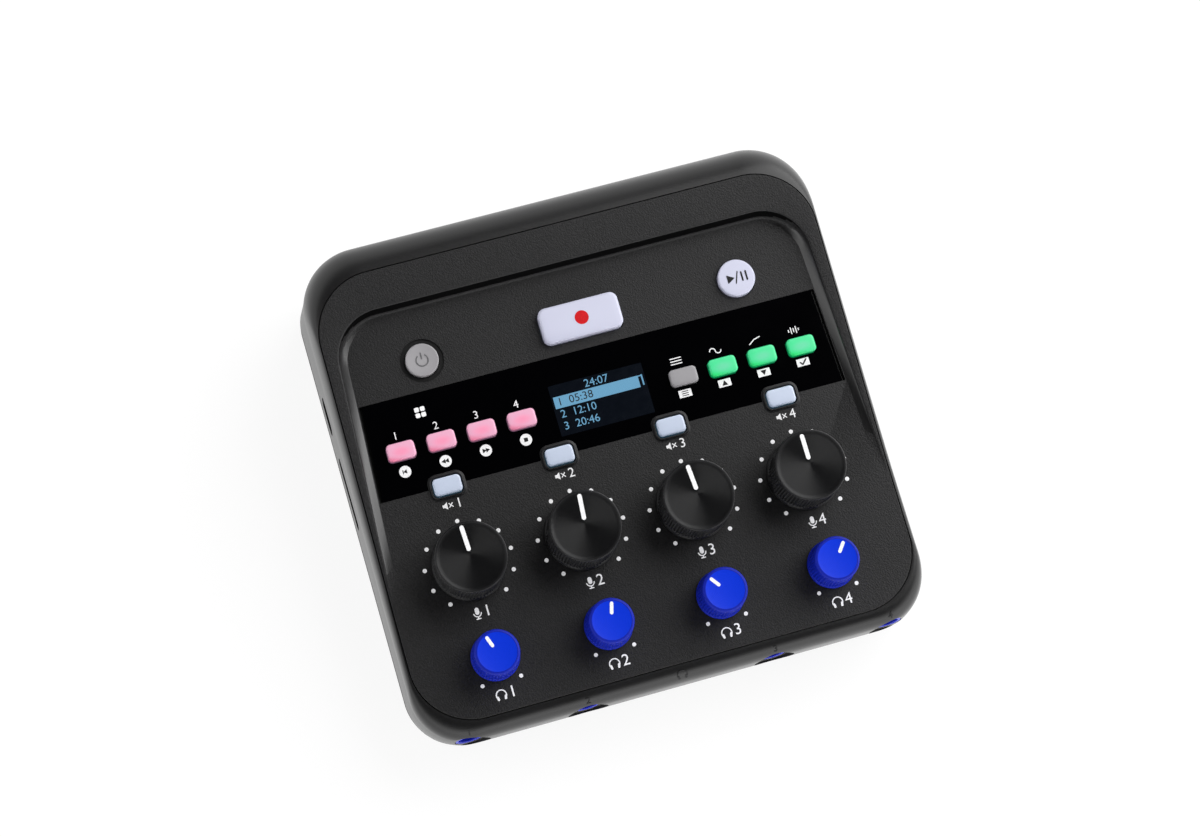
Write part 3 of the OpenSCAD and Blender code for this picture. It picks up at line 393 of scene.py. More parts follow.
recessY1, recessHw0, recessHw1 = creaseY1 - case["rimD"], creaseHw - case["rimFrontW"], creaseHw - case["rimRearW"]


def panelZ(y): return case["frontH"] + (y - creaseY0) * tiltSin / tiltCos


def rimRise(y):  # the rim plane leaves the panel at riseY and is rimH above it at the rear crease
    return np.maximum(0, y - riseY) * case["rimH"] / (creaseY1 - riseY)


def rollH(y):
    return case["rollFrontH"] + (case["rollRearH"] - case["rollFrontH"]) * (y - creaseY0) / (creaseY1 - creaseY0)


def caseHalf(hw, y0, y1, r0, r1):  # right half of the outline: front corner, side, rear corner
    n, m = case["corner"], case["side"]
    return np.concatenate([arc(hw - r0, y0 + r0, r0, -90, 0, n), [[hw, riseY]],
                           within((hw, riseY), (hw, y1 - r1), m), arc(hw - r1, y1 - r1, r1, 0, 90, n)])


def rolledHalf(k, inset=0.0):  # outline drawn in from the top of the walls by the share k of the roll
    frontR, rearR = (case[r] + (case["creaseR"] - case[r]) * k for r in ("frontR", "rearR"))
    return caseHalf(creaseHw + case["rollSide"] * (1 - k) - inset, creaseY0 - case["rollFront"] * (1 - k) + inset,
                    creaseY1 + case["rollRear"] * (1 - k) - inset, frontR - inset, rearR - inset)


wallTop = case["frontH"] - case["rollFrontH"]


def wallShare(z): return (wallTop - z) / (wallTop - case["split"])


def wallHalf(u, inset=0.0):  # the walls from the roll (u 0) to the joint (1) and below: sides spread, the front draws in
    draw = case["tuck"] * (u * u if u < 1 else 2 * u - 1)
    rearR = case["rearR"] + (case["jointR"] - case["rearR"]) * min(u, 1)
    return caseHalf(case["w"] / 2 - case["flare"] * (1 - min(u, 1)) - inset, -case["d"] / 2 + draw + inset,
                    case["d"] / 2 - inset, case["frontR"] - inset, rearR - inset)


def recessHalf(inset):  # right half of the recess: round front corners on the level part, sides that lean in to the rear
    n, m, r = case["corner"], case["side"], case["recessR"] - inset
    hw0, hw1, y0, y1 = recessHw0 - inset, recessHw1 - inset, riseY + inset, recessY1 - inset
    lean = math.atan((hw0 - hw1) / (y1 - y0))
    cx = hw0 - ((y1 - r - y0) * math.sin(lean) + r) / math.cos(lean)
    bend = arc(cx, y1 - r, r, math.degrees(lean), 90, n)
    front = arc(hw0 - case["recessR"], y0, case["recessR"], -90, 0, n + 1)
    return np.concatenate([front, within((hw0, y0), bend[0], m), bend])


def wholeRing(half, z):  # the left half is the right half's mirror image
    z = np.broadcast_to(z, len(half))
    right = np.column_stack([half, z])
    return np.vstack([right, (right * (-1, 1, 1))[::-1]])


def topShell():  # wall, roll, groove, rim, rounded edge and cove as one skin over an inner skin
    creaseY = rolledHalf(1)[:, 1]
    rimZ = panelZ(creaseY) + rimRise(creaseY)
    rollZ = rimZ - rollH(creaseY)
    s, seam = case["split"], case["split"] + case["seam"]
    outer = [wholeRing(wallHalf(1, case["seam"]), s), wholeRing(wallHalf(1), seam)]
    outer += [wholeRing(wallHalf(u), seam + (rollZ - s - case["seam"]) * (1 - u)) for u in np.linspace(0.88, 0, 8)]
    for a in np.radians(np.linspace(0, 90, case["rollSteps"] + 1)[1:]):  # quarter ellipse from the wall up to the crease
        half = rolledHalf(1 - math.cos(a), -case["groove"] * math.sin(a))
        outer.append(wholeRing(half, rimZ - rollH(creaseY) * (1 - math.sin(a)) - 0.12 * math.sin(a)))
    for share, deep in ((-0.4, case["grooveDeep"]), (0.1, case["grooveDeep"]), (0.4, 0.1), (0.85, 0)):  # groove and its lip
        outer.append(wholeRing(rolledHalf(1, case["groove"] * share), rimZ - deep))
    satinRows, edgeRows = len(outer) - 2, len(outer) + 4
    edgeY = recessHalf(0)[:, 1]
    rise, e = rimRise(edgeY), case["edge"]
    drop = np.minimum(e, 0.3 * rise)
    side = np.clip((recessY1 - edgeY) / case["recessR"], 0, 1)
    for a in np.radians(np.linspace(0, 90, 6)):  # rounded edge of the rim
        half = recessHalf(-e + e * math.sin(a))
        outer.append(wholeRing(half, panelZ(half[:, 1]) + rise - drop * (1 - math.cos(a))))
    for u in np.linspace(0, 1, case["coveSteps"] + 1)[1:] ** 1.5:  # a bevel along the sides, upright with a round foot at the rear
        half = recessHalf(case["coveW"] * u)
        bevel = 1 - 0.25 * math.sqrt(u * (2 - u)) - 0.75 * u
        outer.append(wholeRing(half, panelZ(half[:, 1]) + (rise - drop) * ((1 - u) ** case["upright"] * (1 - side) + bevel * side)))
    innerWall, innerTop = wallHalf(0, case["wall"]), rolledHalf(1, case["wall"])
    y = innerWall[:, 1]
    inner = [wholeRing(innerTop, panelZ(innerTop[:, 1]) - case["panelT"] / tiltCos),
             wholeRing(innerWall, panelZ(y) + rimRise(y) - rollH(y)), wholeRing(wallHalf(1, case["wall"]), s)]
    rings = np.stack(inner + outer)
    return skin(rings, False, False), rings.shape[1], len(inner) + satinRows, len(inner) + edgeRows, len(rings) - 1


keys = {"w": 8.2, "d": 5.1, "r": 1.2, "gap": 0.3, "padX": (-60.4, -48.4, -36.4, -24.4), "functionX": (24.4, 36.4, 48.4, 60.4),
        "top": 1.5, "edge": 0.55, "bezelW": 1.1, "bezelH": 0.8}
record = {"w": 24, "d": 10.8, "r": 2.3, "top": 2.6, "edge": 0.85}
rounds = {"x": 47.6, "play": 11, "power": 9.7, "dish": 12.8, "top": 1.8, "powerTop": 1.2}
strip = {"start": 66.9, "deep": 28.6, "thick": 1.2, "displayS": 79.25, "displayW": 31, "displayD": 17}
jacks = {"x": (-63, -28, 28, 63), "z": 17.5, "y": -72.5, "scoop": 12, "ring": 8.2}
mics = {"x": (-45.75, -15.25, 15.25, 45.75), "z": 20.5, "y": 73.6, "d": 22.4, "plug": 19.2, "insert": 15.8,
        "pin": 2.6, "pinRing": 4.0}
ports = {"port": (101.5, 16.2, (9.3, 3.5, 1.74), (12, 5.6, 2.79), 76.5),  # row, height, opening, dip round it, floor of the dip
         "card": (77, 15.55, (12.7, 1.5, 0.4), (22.5, 4.1, 1.95), 76.55)}
switches = {"x": 74.3, "z": 17, "t": 3, "travel": 2.5, "long": (48.3, 7.5), "short": (33.3, 5.3)}


def wallRow(s): return creaseY0 + s * tiltCos


def floorHw(s):  # half width of the recess floor at a distance up the panel
    y0, y1 = riseY + case["coveW"], recessY1 - case["coveW"]
    return recessHw0 - case["coveW"] + (recessHw1 - recessHw0) * (wallRow(s) - y0) / (y1 - y0)


def stripOutline():  # the strip's edge: straight, but for a rounded notch round each mute bezel
    s0, s1, room = strip["start"], strip["start"] + strip["deep"], keys["gap"] + keys["bezelW"]
    w, h, r = keys["w"] / 2 + room, keys["d"] / 2 + room, keys["r"] + room
    hw0, hw1 = floorHw(s0) - 0.3, floorHw(s1) - 0.3
    edge = [[(-hw0, s0)]]
    for x in panel["columns"]:
        edge += [[(x - w, s0)], arc(x - w + r, s0 + h - r, r, 180, 90, 8), arc(x + w - r, s0 + h - r, r, 90, 0, 8), [(x + w, s0)]]
    return np.concatenate(edge + [[(hw0, s0), (hw1, s1), (-hw1, s1)]])


def wallAt(side, along, z):  # a place on an upright wall
    across = {"front": (1, 0, 0), "rear": (-1, 0, 0), "left": (0, -1, 0), "right": (0, 1, 0)}[side]
    return facing((along, 0, z) if across[0] else (0, along, z), across, (0, 0, 1))


def opening(w, d, r, at, n0=-5, n1=4): return prism(roundedLoop(w, d, r), at, n0, n1)
def boring(r, at, n0=-5, n1=4, steps=64): return prism(disc(0, 0, r, steps), at, n0, n1)


def caseCutters():  # every opening of the top case as a straight prism
    gap, columns = keys["gap"], panel["columns"]
    recordAt, playAt, powerAt = (panelAt(x, panel["rowRecord"]) for x in (0, rounds["x"], -rounds["x"]))
    smallKeys = [(x, panel["rowKeys"]) for x in keys["padX"] + keys["functionX"]] + [(x, panel["rowMute"]) for x in columns]
    cut = [prism(stripOutline(), panelAt(0, 0), -strip["thick"], 3),
           opening(strip["displayW"] + gap, strip["displayD"] + gap, 0.6, panelAt(0, strip["displayS"]), -5, -0.5)]
    cut += [opening(keys["w"] + 2 * gap, keys["d"] + 2 * gap, keys["r"] + gap, panelAt(x, s)) for x, s in smallKeys]
    cut += [opening(record["w"] + 2 * gap, record["d"] + 2 * gap, record["r"] + gap, recordAt),
            boring(rounds["play"] / 2 + gap, playAt), boring(rounds["power"] / 2 + gap, powerAt),
            boring(rounds["dish"] / 2, powerAt, -0.4)]
    cut += [boring(4.6, panelAt(x, panel[row]), steps=40) for x in columns for row in ("rowGain", "rowVolume")]
    for x in jacks["x"]:
        at, y = wallAt("front", x, jacks["z"]), -jacks["y"]
        cut += [boring(jacks["scoop"] / 2, at, y, y + 6), boring(jacks["ring"] / 2 + 0.15, at, y - 8, y + 1, 48)]
    cut += [boring(mics["d"] / 2 + 0.15, wallAt("rear", x, mics["z"]), mics["y"] - 9, mics["y"] + 2, 96) for x in mics["x"]]
    for row, z, hole, dip, dipFloor in ports.values():
        at = wallAt("left", wallRow(row), z)
        cut += [opening(*hole, at, 70, 80), opening(*dip, at, dipFloor, 80)]
    for row, length in (switches["long"], switches["short"]):
        at = wallAt("right", wallRow(row), switches["z"])
        cut.append(opening(length + switches["travel"] + 2 * gap, switches["t"] + 2 * gap, 0.9, at, 72, 80))
    return cut


def cutAway(obj, cutters, sharp):  # takes the cutters out of a piece with a Boolean and keeps the result as its mesh
    tools = bpy.data.collections.new("cutters")
    scene.collection.children.link(tools)
    for points, faces in cutters:
        mesh = bpy.data.meshes.new("cutter")
        mesh.from_pydata((np.asarray(points) / 1000).tolist(), [], faces)
        tool = bpy.data.objects.new("cutter", mesh)
        tools.objects.link(tool)
    knife = obj.modifiers.new("cut", "BOOLEAN")
    knife.operation, knife.operand_type, knife.collection, knife.solver = "DIFFERENCE", "COLLECTION", tools, "EXACT"
    cutMesh = bpy.data.meshes.new_from_object(obj.evaluated_get(bpy.context.evaluated_depsgraph_get()))
    obj.modifiers.clear()
    obj.data = cutMesh
    for tool in list(tools.objects):
        bpy.data.objects.remove(tool)
    bpy.data.collections.remove(tools)
    cutMesh.polygons.foreach_set("use_smooth", np.ones(len(cutMesh.polygons), bool))
    cutMesh.set_sharp_from_angle(angle=math.radians(sharp))


(shellPoints, shellFaces), cols, satinEnd, bevelStart, lastRow = topShell()
shellFinishes = [satinShell, panelGrain, bevelSatin, paintedRearShade]
shellObj = makeMesh("top_shell", (shellPoints, shellFaces), shellFinishes, case["sharp"])
lowest = np.array([min(f) for f in shellFaces])
rowOf, faceY = lowest // cols, shellPoints[lowest, 1]
# the smooth bevel thins out through the rear corners, where the upright part begins; its upper rows are painted near
# black as shade
firstSatin = bevelStart + (lastRow - bevelStart) * np.clip((faceY - recessY1 + 12) / 10, 0, 1)
paintedShadeEnd = bevelStart + case["paintedShadeRows"] * np.clip((faceY - recessY1 + 10) / 10, 0, 1)
bevel = (rowOf >= firstSatin) & (rowOf < lastRow) & (rimRise(faceY) > 0.5)
# shade: the faces painted near black as shade
shade = (rowOf >= bevelStart) & (rowOf < paintedShadeEnd)
kind = np.where(rowOf < satinEnd, 0, np.where(shade, 3, np.where(bevel, 2, 1)))
shellObj.data.polygons.foreach_set("material_index", kind.astype(np.int32))
cutAway(shellObj, caseCutters(), case["sharp"])
fit(shellObj, "case", "case_top", "top_case")
print("top shell:", len(shellObj.data.polygons), "faces")


def bottomTray():  # floor, rolled lower edge and wall as one skin over an inner skin
    s, roll, f = case["split"], case["bottomRoll"], case["footH"]
    floorZ = f + case["floorT"]
    edge = [(roll * (1 - math.sin(a)), f + 3.5 * (1 - math.cos(a))) for a in np.radians(np.linspace(0, 90, 12))]
    edge += [(0, s - case["seam"]), (case["seam"], s)]
    outer = [wholeRing(wallHalf(wallShare(z), inset), z) for inset, z in edge]
    inner = [wholeRing(wallHalf(1, case["wall"]), s), wholeRing(wallHalf(wallShare(floorZ), 0.6 + case["wall"]), floorZ)]
    return skin(np.stack(outer + inner), False, False)


bay = {"x": 16, "w": 64.8, "y0": -16.3, "y1": 50.8, "roof": 3.9, "screwX": 66.6, "screwY": (-54.41, 53.5), "screwR": 2.85,
       "footX": 53.2, "footY": 58.95, "footR": 6.15, "footDeep": 2.8}


def trayCutters():  # battery bay, screw holes and foot wells
    under = facing((0, 0, 0), (-1, 0, 0), (0, 1, 0))
    x0, x1 = -bay["x"] - bay["w"] / 2, -bay["x"] + bay["w"] / 2
    cut = [prism([(x0, bay["y0"]), (x1, bay["y0"]), (x1, bay["y1"]), (x0, bay["y1"])], under, -bay["roof"], 0)]
    for side in (-1, 1):
        cut += [prism(disc(side * bay["screwX"], y, bay["screwR"], 40), under, -bay["roof"], 0) for y in bay["screwY"]]
        cut += [prism(disc(side * bay["footX"], y * bay["footY"], bay["footR"], 48), under, -bay["footDeep"], 0) for y in (-1, 1)]
    return cut


trayObj = makeMesh("bottom_tray", bottomTray(), bottomGrain, case["sharp"])
cutAway(trayObj, trayCutters(), case["sharp"])
fit(trayObj, "case", "case_bottom", "bottom_case")
print("bottom tray:", len(trayObj.data.polygons), "faces")


def keyCap(place, w, d, r, top, edge, crown, root=-3.0, corner=8):  # straight wall, rounded edge, top rising to its middle
    steps = [(0.0, root), (0.0, top - edge - 0.4), (0.0, top - edge)]
    steps += [(edge - c, top - edge + s) for c, s in arc(0, 0, edge, 15, 90, 5)]
    loops = [roundedLoop(w - 2 * inset, d - 2 * inset, max(r - inset * 0.6, 0.15), corner) for inset, n in steps]
    heights = [n for inset, n in steps] + [top + crown * (1 - k * k) for k in (0.85, 0.6, 0.3)]
    loops += [loops[-1] * k for k in (0.85, 0.6, 0.3)]
    shape = skin(np.stack([place(loop[:, 0], loop[:, 1], n) for loop, n in zip(loops, heights)]))
    return shape, np.vstack(loops + [[[0, 0]], [[0, 0]]]) / (w, d) + 0.5


def putKey(name, node, x, row, size, crown, finish, slotName):
    shape, uv = keyCap(panelAt(x, panel[row]), *(size[k] for k in ("w", "d", "r", "top", "edge")), crown)
    putPiece(name, shape, finish, 50, node + "_body", slotName, node, uv=uv)


keyLooks = {"pad": [(pinkKey, "pad_pink")] * 4, "function": [(greyKey, "button_grey")] + [(greenKey, "key_green")] * 3,
            "mute": [(paleKey, "button_pale")] * 4}
for kind, columns, row, size in (("pad", keys["padX"], "rowKeys", keys), ("function", keys["functionX"], "rowKeys", keys),
                                 ("mute", panel["columns"], "rowMute", {**keys, "top": keys["top"] + 0.1})):
    for i, x in enumerate(columns):
        putKey(f"{kind}_cap_{i + 1}", f"{kind}_button_{i + 1}", x, row, size, 0.06, *keyLooks[kind][i])
putKey("record_cap", "record_button", 0, "rowRecord", record, 0.1, palePlastic, "button_pale")
print("keys made")


def turned(place, profile, steps, ribs=0, ribDeep=0.0, ribSpan=(0, 0)):
    # a profile of (radius, height) turned round an axis; ribs ripple its radius
    a = np.linspace(0, 2 * math.pi, steps, endpoint=False)
    profile = np.asarray(profile, float)
    r, n = profile[:, :1], profile[:, 1:2]
    inRibs = (n >= ribSpan[0]) & (n <= ribSpan[1])
    rr = r - ribDeep * inRibs * (0.5 - 0.5 * np.cos(a * ribs)) ** 0.7 if ribs else r + 0 * a
    rings = place(rr * np.cos(a), rr * np.sin(a), n + 0 * a)
    return skin(rings), a


def knobUv(profile, steps, faceRow):  # x is below 0.5 on the side, 0.5 at the face's edge and 1 at its middle; y goes round
    r = np.asarray(profile, float)[:, 0]
    u = np.where(np.arange(len(r)) < faceRow, 0.25, 0.5 + 0.5 * (1 - r / r[faceRow]))
    u[faceRow] = 0.501
    v = np.arange(steps) / steps
    grid = np.stack(np.broadcast_arrays(u[:, None], v[None, :]), -1).reshape(-1, 2)
    return np.vstack([grid, [[1, 0.5]], [[0.2, 0.5]]])


def roundProfile(d, top, edge, dish, root):  # button: upright side, quarter-round edge, hollowed face
    r, inner = d / 2, d / 2 - edge
    side = [(r, root), (r, top - edge - 0.3)] + quarter(inner, top - edge, edge, 0, 90, 6)
    return side + [(inner * k, top - dish * (1 - k * k)) for k in (0.92, 0.75, 0.5, 0.25)]


def roundButton(name, node, x, d, top, edge, dish, finish, slotName):
    profile = roundProfile(d, top, edge, dish, -3.0)
    shape, a = turned(panelAt(x, panel["rowRecord"]), profile, 72)
    p = np.asarray(profile)
    uv = np.stack([0.5 + p[:, :1] * np.cos(a) / d, 0.5 + p[:, :1] * np.sin(a) / d], -1).reshape(-1, 2)
    uv = np.vstack([uv, [[0.5, 0.5]], [[0.5, 0.5]]])
    putPiece(name, shape, finish, 50, node + "_body", slotName, node, uv=uv)


roundButton("play_cap", "play_button", rounds["x"], rounds["play"], rounds["top"], 0.45, -0.08, palePlastic, "button_pale")
roundButton("power_cap", "power_button", -rounds["x"], rounds["power"], rounds["powerTop"], 0.3, 0.25, powerGrey,
            "button_grey")


def muteBezels():  # rounded frame: its section is carried round each mute button
    gap, b, h = keys["gap"], keys["bezelW"], keys["bezelH"]
    w, d, r = keys["w"] + 2 * gap, keys["d"] + 2 * gap, keys["r"] + gap
    section = [(b, -0.6), (b, 0.02), (0.72, 0.1)]
    section += [(0.62 - 0.3 * (1 - math.cos(a)), h - 0.4 * (1 - math.sin(a))) for a in np.radians(np.linspace(0, 90, 6))]
    section += [(0.22, h), (0.08, h - 0.06), (0.0, h - 0.25), (0.0, -0.6)]
    rounding = [(roundedLoop(w + 2 * o, d + 2 * o, r + o, 10), n) for o, n in section]
    places = [panelAt(x, panel["rowMute"]) for x in panel["columns"]]
    return joined([closedSkin(np.stack([at(loop[:, 0], loop[:, 1], n) for loop, n in rounding])) for at in places])


putPiece("mute_frames", muteBezels(), bezelPlastic, 40, "case", "bezel_grey", "mute_bezels")
print("buttons and bezels made")

gain = {"r": 10.4, "top": 14.5, "ribs": 72, "ribDeep": 0.32, "dish": 0.55, "angles": (-3, 4, -5, -1), "pointer": (1.7, 9.2, 1.25)}
volume = {"r": 6.85, "top": 12.0, "ribs": 48, "ribDeep": 0.2, "dish": 0.35, "angles": (-21, 15, -38, 36), "pointer": (1.75, 5.35, 1.0)}


def gainProfile():  # skirt, ribbed wall, bright chamfer, narrow land and a face hollowed to a shallow cone
    r, t, rim = gain["r"], gain["top"], gain["r"] - 0.75
    side = [(r - 1.2, 0.6), (r + 0.2, 0.6), (r + 0.35, 0.8), (r + 0.35, 1.9), (r + 0.2, 2.15), (r + 0.02, 2.3), (r, 2.5),
            (r, 6), (r, 10), (r, t - 0.85), (r - 0.12, t - 0.65)]
    side += quarter(r - 0.54, t - 0.42, 0.42, 0, 80, 6)
    face = [(rim, t - 0.06), (rim - 0.12, t - 0.14)]
    face += [(rim * k, t - 0.14 - gain["dish"] * (1 - k)) for k in (0.9, 0.75, 0.6, 0.45, 0.3, 0.18, 0.08, 0.02)]
    return side + face, len(side) + 1, (2.4, t - 0.8)


def volumeProfile():  # slightly tapered wall, soft edge and a shallow dish
    r, t, rim = volume["r"], volume["top"], volume["r"] - 1.25
    side = [(r - 0.8, 0.6), (r + 0.1, 0.6), (r + 0.2, 0.8), (r + 0.2, 1.6), (r + 0.05, 1.85), (r, 2.0), (r - 0.1, 5),
            (r - 0.22, 8), (r - 0.34, t - 0.9)] + quarter(r - 1.14, t - 0.8, 0.8, 0, 90, 8)[1:]
    face = [(rim, t - 0.02)] + [(rim * k, t - 0.04 - volume["dish"] * (1 - k * k)) for k in (0.94, 0.8, 0.6, 0.4, 0.2, 0.05)]
    return side + face, len(side), (1.95, t - 1.6)


def pointerBar(place, dims, angle, height):  # rounded bar from dims[0] to dims[1] out from the middle, turned clockwise by angle
    r0, r1, w = dims
    a = math.radians(angle)
    loop = np.concatenate([arc(0, r1 - w / 2, w / 2, 0, 180, 10), arc(0, r0 + w / 2, w / 2, 180, 360, 10)])
    x, y = loop @ (math.cos(a), math.sin(a)), loop @ (-math.sin(a), math.cos(a))
    n = height(np.hypot(x, y))
    return skin(np.stack([place(x, y, n - 0.15), place(x, y, n + 0.05)]), False, False)


def heightOver(profile, faceRow):  # height of the face at a distance from the middle
    p = np.asarray(profile[faceRow - 1:] + [(0, profile[-1][1])])[::-1]
    return lambda r: np.interp(r, p[:, 0], p[:, 1])


knobKinds = (("gain", gain, gainProfile(), "rowGain", blackKnob, "knob_black"),
             ("volume", volume, volumeProfile(), "rowVolume", blueKnob, "knob_blue"))
for i, x in enumerate(panel["columns"]):
    for kind, settings, (profile, faceRow, span), row, finish, slotName in knobKinds:
        place, steps, body = panelAt(x, panel[row]), settings["ribs"] * 8, f"{kind}_{i + 1}"
        shape, a = turned(place, profile, steps, settings["ribs"], settings["ribDeep"], span)
        uv = knobUv(profile, steps, faceRow)
        putPiece(f"{kind}_cap_{i + 1}", shape, finish, 40, body, slotName, f"{kind}_knob_{i + 1}", uv=uv)
        pointer = pointerBar(place, settings["pointer"], settings["angles"][i], heightOver(profile, faceRow))
        putPiece(f"{kind}_pointer_{i + 1}", pointer, whiteInkPaintedGlow, 40, body, slotName)
print("knobs made")

# printed marks: every mark is an outline raised a hair above its face
ink = {"low": -0.05, "high": 0.03, "sign": 1.05, "dotRing": 12.82, "dot": 0.62, "endDot": (5.69, -7.1, 0.58),
       "rowMic": 29.2, "rowHeadphone": 5.1, "rowMute": 61.3, "rowPadNumber": 84.7, "rowPadSign": 74.0, "rowGrid": 89.7,
       "rowFrame": 75.2, "rowFunctionSign": 85.1}


def bar(x0, y0, x1, y1, w, n=6):  # stroke with round ends
    a = math.degrees(math.atan2(y1 - y0, x1 - x0))
    return np.concatenate([arc(x1, y1, w / 2, a - 90, a + 90, n), arc(x0, y0, w / 2, a + 90, a + 270, n)])


def bow(x, y, r, w, a0, a1, n=20):  # curved stroke: an outer arc out and an inner arc back
    return np.concatenate([arc(x, y, r + w / 2, a0, a1, n), arc(x, y, r - w / 2, a1, a0, n)])


def box(x, y, w, d, r=0.15): return roundedLoop(w, d, r, 4) + (x, y)


def micSign():  # capsule over a cradle, stem and foot
    return [ink["sign"] * o for o in (bar(0, 0.15, 0, 1.0, 1.15), bow(0, 0.1, 1.05, 0.3, 180, 360),
                                      bar(0, -0.95, 0, -1.5, 0.3), bar(-0.55, -1.55, 0.55, -1.55, 0.3))]


def headphoneSign():  # band over two ear cups
    cups = [bar(side * 1.12, -0.55, side * 0.98, -1.25, 0.62) for side in (-1, 1)]
    return [ink["sign"] * o for o in [bow(0, -0.15, 1.4, 0.32, -20, 200, 28)] + cups]


def muteSign():  # loudspeaker cone with a cross beside it
    cone = np.array([(-1.5, -0.45), (-0.9, -0.45), (-0.1, -1.1), (-0.1, 1.1), (-0.9, 0.45), (-1.5, 0.45)])
    return [cone, bar(0.45, -0.55, 1.45, 0.55, 0.28), bar(0.45, 0.55, 1.45, -0.55, 0.28)]


def numberShape(text, place, size, x=0.0, y=0.0, low=ink["low"], high=ink["high"]):  # a plain number laid on a face
    curve = bpy.data.curves.new("number", "FONT")
    curve.body, curve.size, curve.align_x, curve.align_y = text, size, "CENTER", "CENTER"
    curve.resolution_u, curve.extrude = 4, 0.5
    obj = bpy.data.objects.new("number", curve)
    scene.collection.objects.link(obj)
    mesh = bpy.data.meshes.new_from_object(obj.evaluated_get(bpy.context.evaluated_depsgraph_get()))
    points = np.zeros(len(mesh.vertices) * 3)
    mesh.vertices.foreach_get("co", points)
    points, same = np.unique(points.reshape(-1, 3).round(5), axis=0, return_inverse=True)  # the walls and caps are welded
    faces = [same.ravel()[list(p.vertices)].tolist() for p in mesh.polygons]
    bpy.data.objects.remove(obj)
    bpy.data.meshes.remove(mesh)
    return place(points[:, 0] + x, points[:, 1] + y, np.where(points[:, 2] > 0, high, low)), faces


def signAt(outlines, place, low=ink["low"], high=ink["high"]): return [prism(o, place, low, high) for o in outlines]


def triangle(x, y, r, a):  # three corners on a circle, the first towards angle a
    return arc(x, y, r, a, a + 240, 2)


def panelPrint():  # rings of dots round the knobs, and a sign with a number under each knob and mute button
    marks, ring = [], ink["dotRing"]
    dots = np.radians(np.arange(-140, 141, 28))
    endX, endY, endR = ink["endDot"]
    for i, x in enumerate(panel["columns"]):
        gainAt, volumeAt = panelAt(x, panel["rowGain"]), panelAt(x, panel["rowVolume"])
        marks += signAt([disc(ring * math.sin(a), ring * math.cos(a), ink["dot"], 20) for a in dots], gainAt)
        marks += signAt([disc(side * endX, endY, endR, 20) for side in (-1, 1)], volumeAt)
        for sign, row, left, right, size in ((micSign(), "rowMic", -1.5, 1.5, 4.6), (headphoneSign(), "rowHeadphone", -1.2, 2.2, 4.6),
                                             (muteSign(), "rowMute", -1.4, 2.0, 3.9)):
            marks += signAt(sign, panelAt(x + left, ink[row])) + [numberShape(str(i + 1), panelAt(x + right, ink[row]), size)]
    return joined(marks)


putPiece("panel_marks", panelPrint(), whiteInkPaintedGlow, 30, "case", "case_top")


def stripPrint():  # white signs of the strip, and dark signs on its white fields
    white, dark = [], []
    padSigns = ([bar(-0.62, -0.5, -0.62, 0.5, 0.25), triangle(0.12, 0, 0.72, 180)],
                [triangle(-0.45, 0, 0.78, 180), triangle(0.55, 0, 0.78, 180)],
                [triangle(-0.55, 0, 0.78, 0), triangle(0.45, 0, 0.78, 0)], [box(0, 0, 1.15, 1.15, 0.1)])
    for i, x in enumerate(keys["padX"]):
        at = panelAt(x - 0.4, ink["rowPadSign"])
        white.append(numberShape(str(i + 1), panelAt(x - 0.45, ink["rowPadNumber"]), 3.2))
        white += signAt([disc(0, 0, 1.75, 32)], at)
        dark += signAt(padSigns[i], at, 0.0, 0.06)
    grid = [box(0.85 * u, 0.85 * v, 1.35, 1.35, 0.35) for u in (-1, 1) for v in (-1, 1)]
    white += signAt(grid, panelAt(-52.1, ink["rowGrid"]))
    framed = ([bar(-0.9, k * 0.6, 0.9, k * 0.6, 0.24) for k in (-1, 0, 1)], [triangle(0, -0.22, 1.02, 90)],
              [triangle(0, 0.22, 1.02, 270)], [bar(-0.8, 0.0, -0.2, -0.62, 0.44), bar(-0.2, -0.62, 1.0, 0.7, 0.44)])
    levels = ((-2, 0.3), (-1, 0.9), (0, 0.5), (1, 0.95), (2, 0.25))
    above = ([bar(-1.6, k * 0.85, 1.6, k * 0.85, 0.3) for k in (-1, 0, 1)],
             [bow(-0.85, 0, 0.85, 0.3, 0, 180), bow(0.85, 0, 0.85, 0.3, 180, 360)],
             [bar(-1.7, -0.9, -0.1, 0.3, 0.3), bar(-0.1, 0.3, 1.7, 0.75, 0.3)],
             [bar(k * 0.75, -h, k * 0.75, h, 0.3) for k, h in levels])
    for i, x in enumerate(keys["functionX"]):
        at = panelAt(x - 0.75, ink["rowFrame"])
        white += signAt([box(0, 0, 3.8, 2.25, 0.12)], at)
        dark += signAt(framed[i], at, 0.0, 0.06)
        white += signAt(above[i], panelAt(x - 0.75, ink["rowFunctionSign"]))
    return joined(white), joined(dark)


whiteMarks, darkMarks = stripPrint()
putPiece("strip_marks", whiteMarks, whiteInkPaintedGlow, 30, "case", "strip_black")
putPiece("strip_signs", darkMarks, darkInk, 30, "case", "strip_black")


def displayPicture():  # a list of times under a clock: the first row is a lit bar, the others lit figures on the dark ground
    at = panelAt(-0.5, strip["displayS"] + 0.5)
    lit = [numberShape("24:07", at, 3.3, 0.0, 5.7, 0.0, 0.045)]
    barAndSlider = [box(-0.7, 2.35, 25.6, 3.5, 0.05), box(13.2, 2.6, 0.45, 3.2, 0.05), box(12.55, 3.9, 0.9, 0.3, 0.05)]
    lit += signAt(barAndSlider, at, 0.0, 0.04)
    lit += [numberShape(row, at, 3.3, -7.2, y, 0.0, 0.045) for row, y in (("2  12:10", -1.3), ("3  20:46", -4.9))]
    ground, dark = prism(roundedLoop(28.2, 15.2, 0.3, 4), at, -0.05, 0.02), numberShape("1  05:38", at, 3.3, -7.2, 2.35, 0.0, 0.06)
    return ground, joined(lit), dark


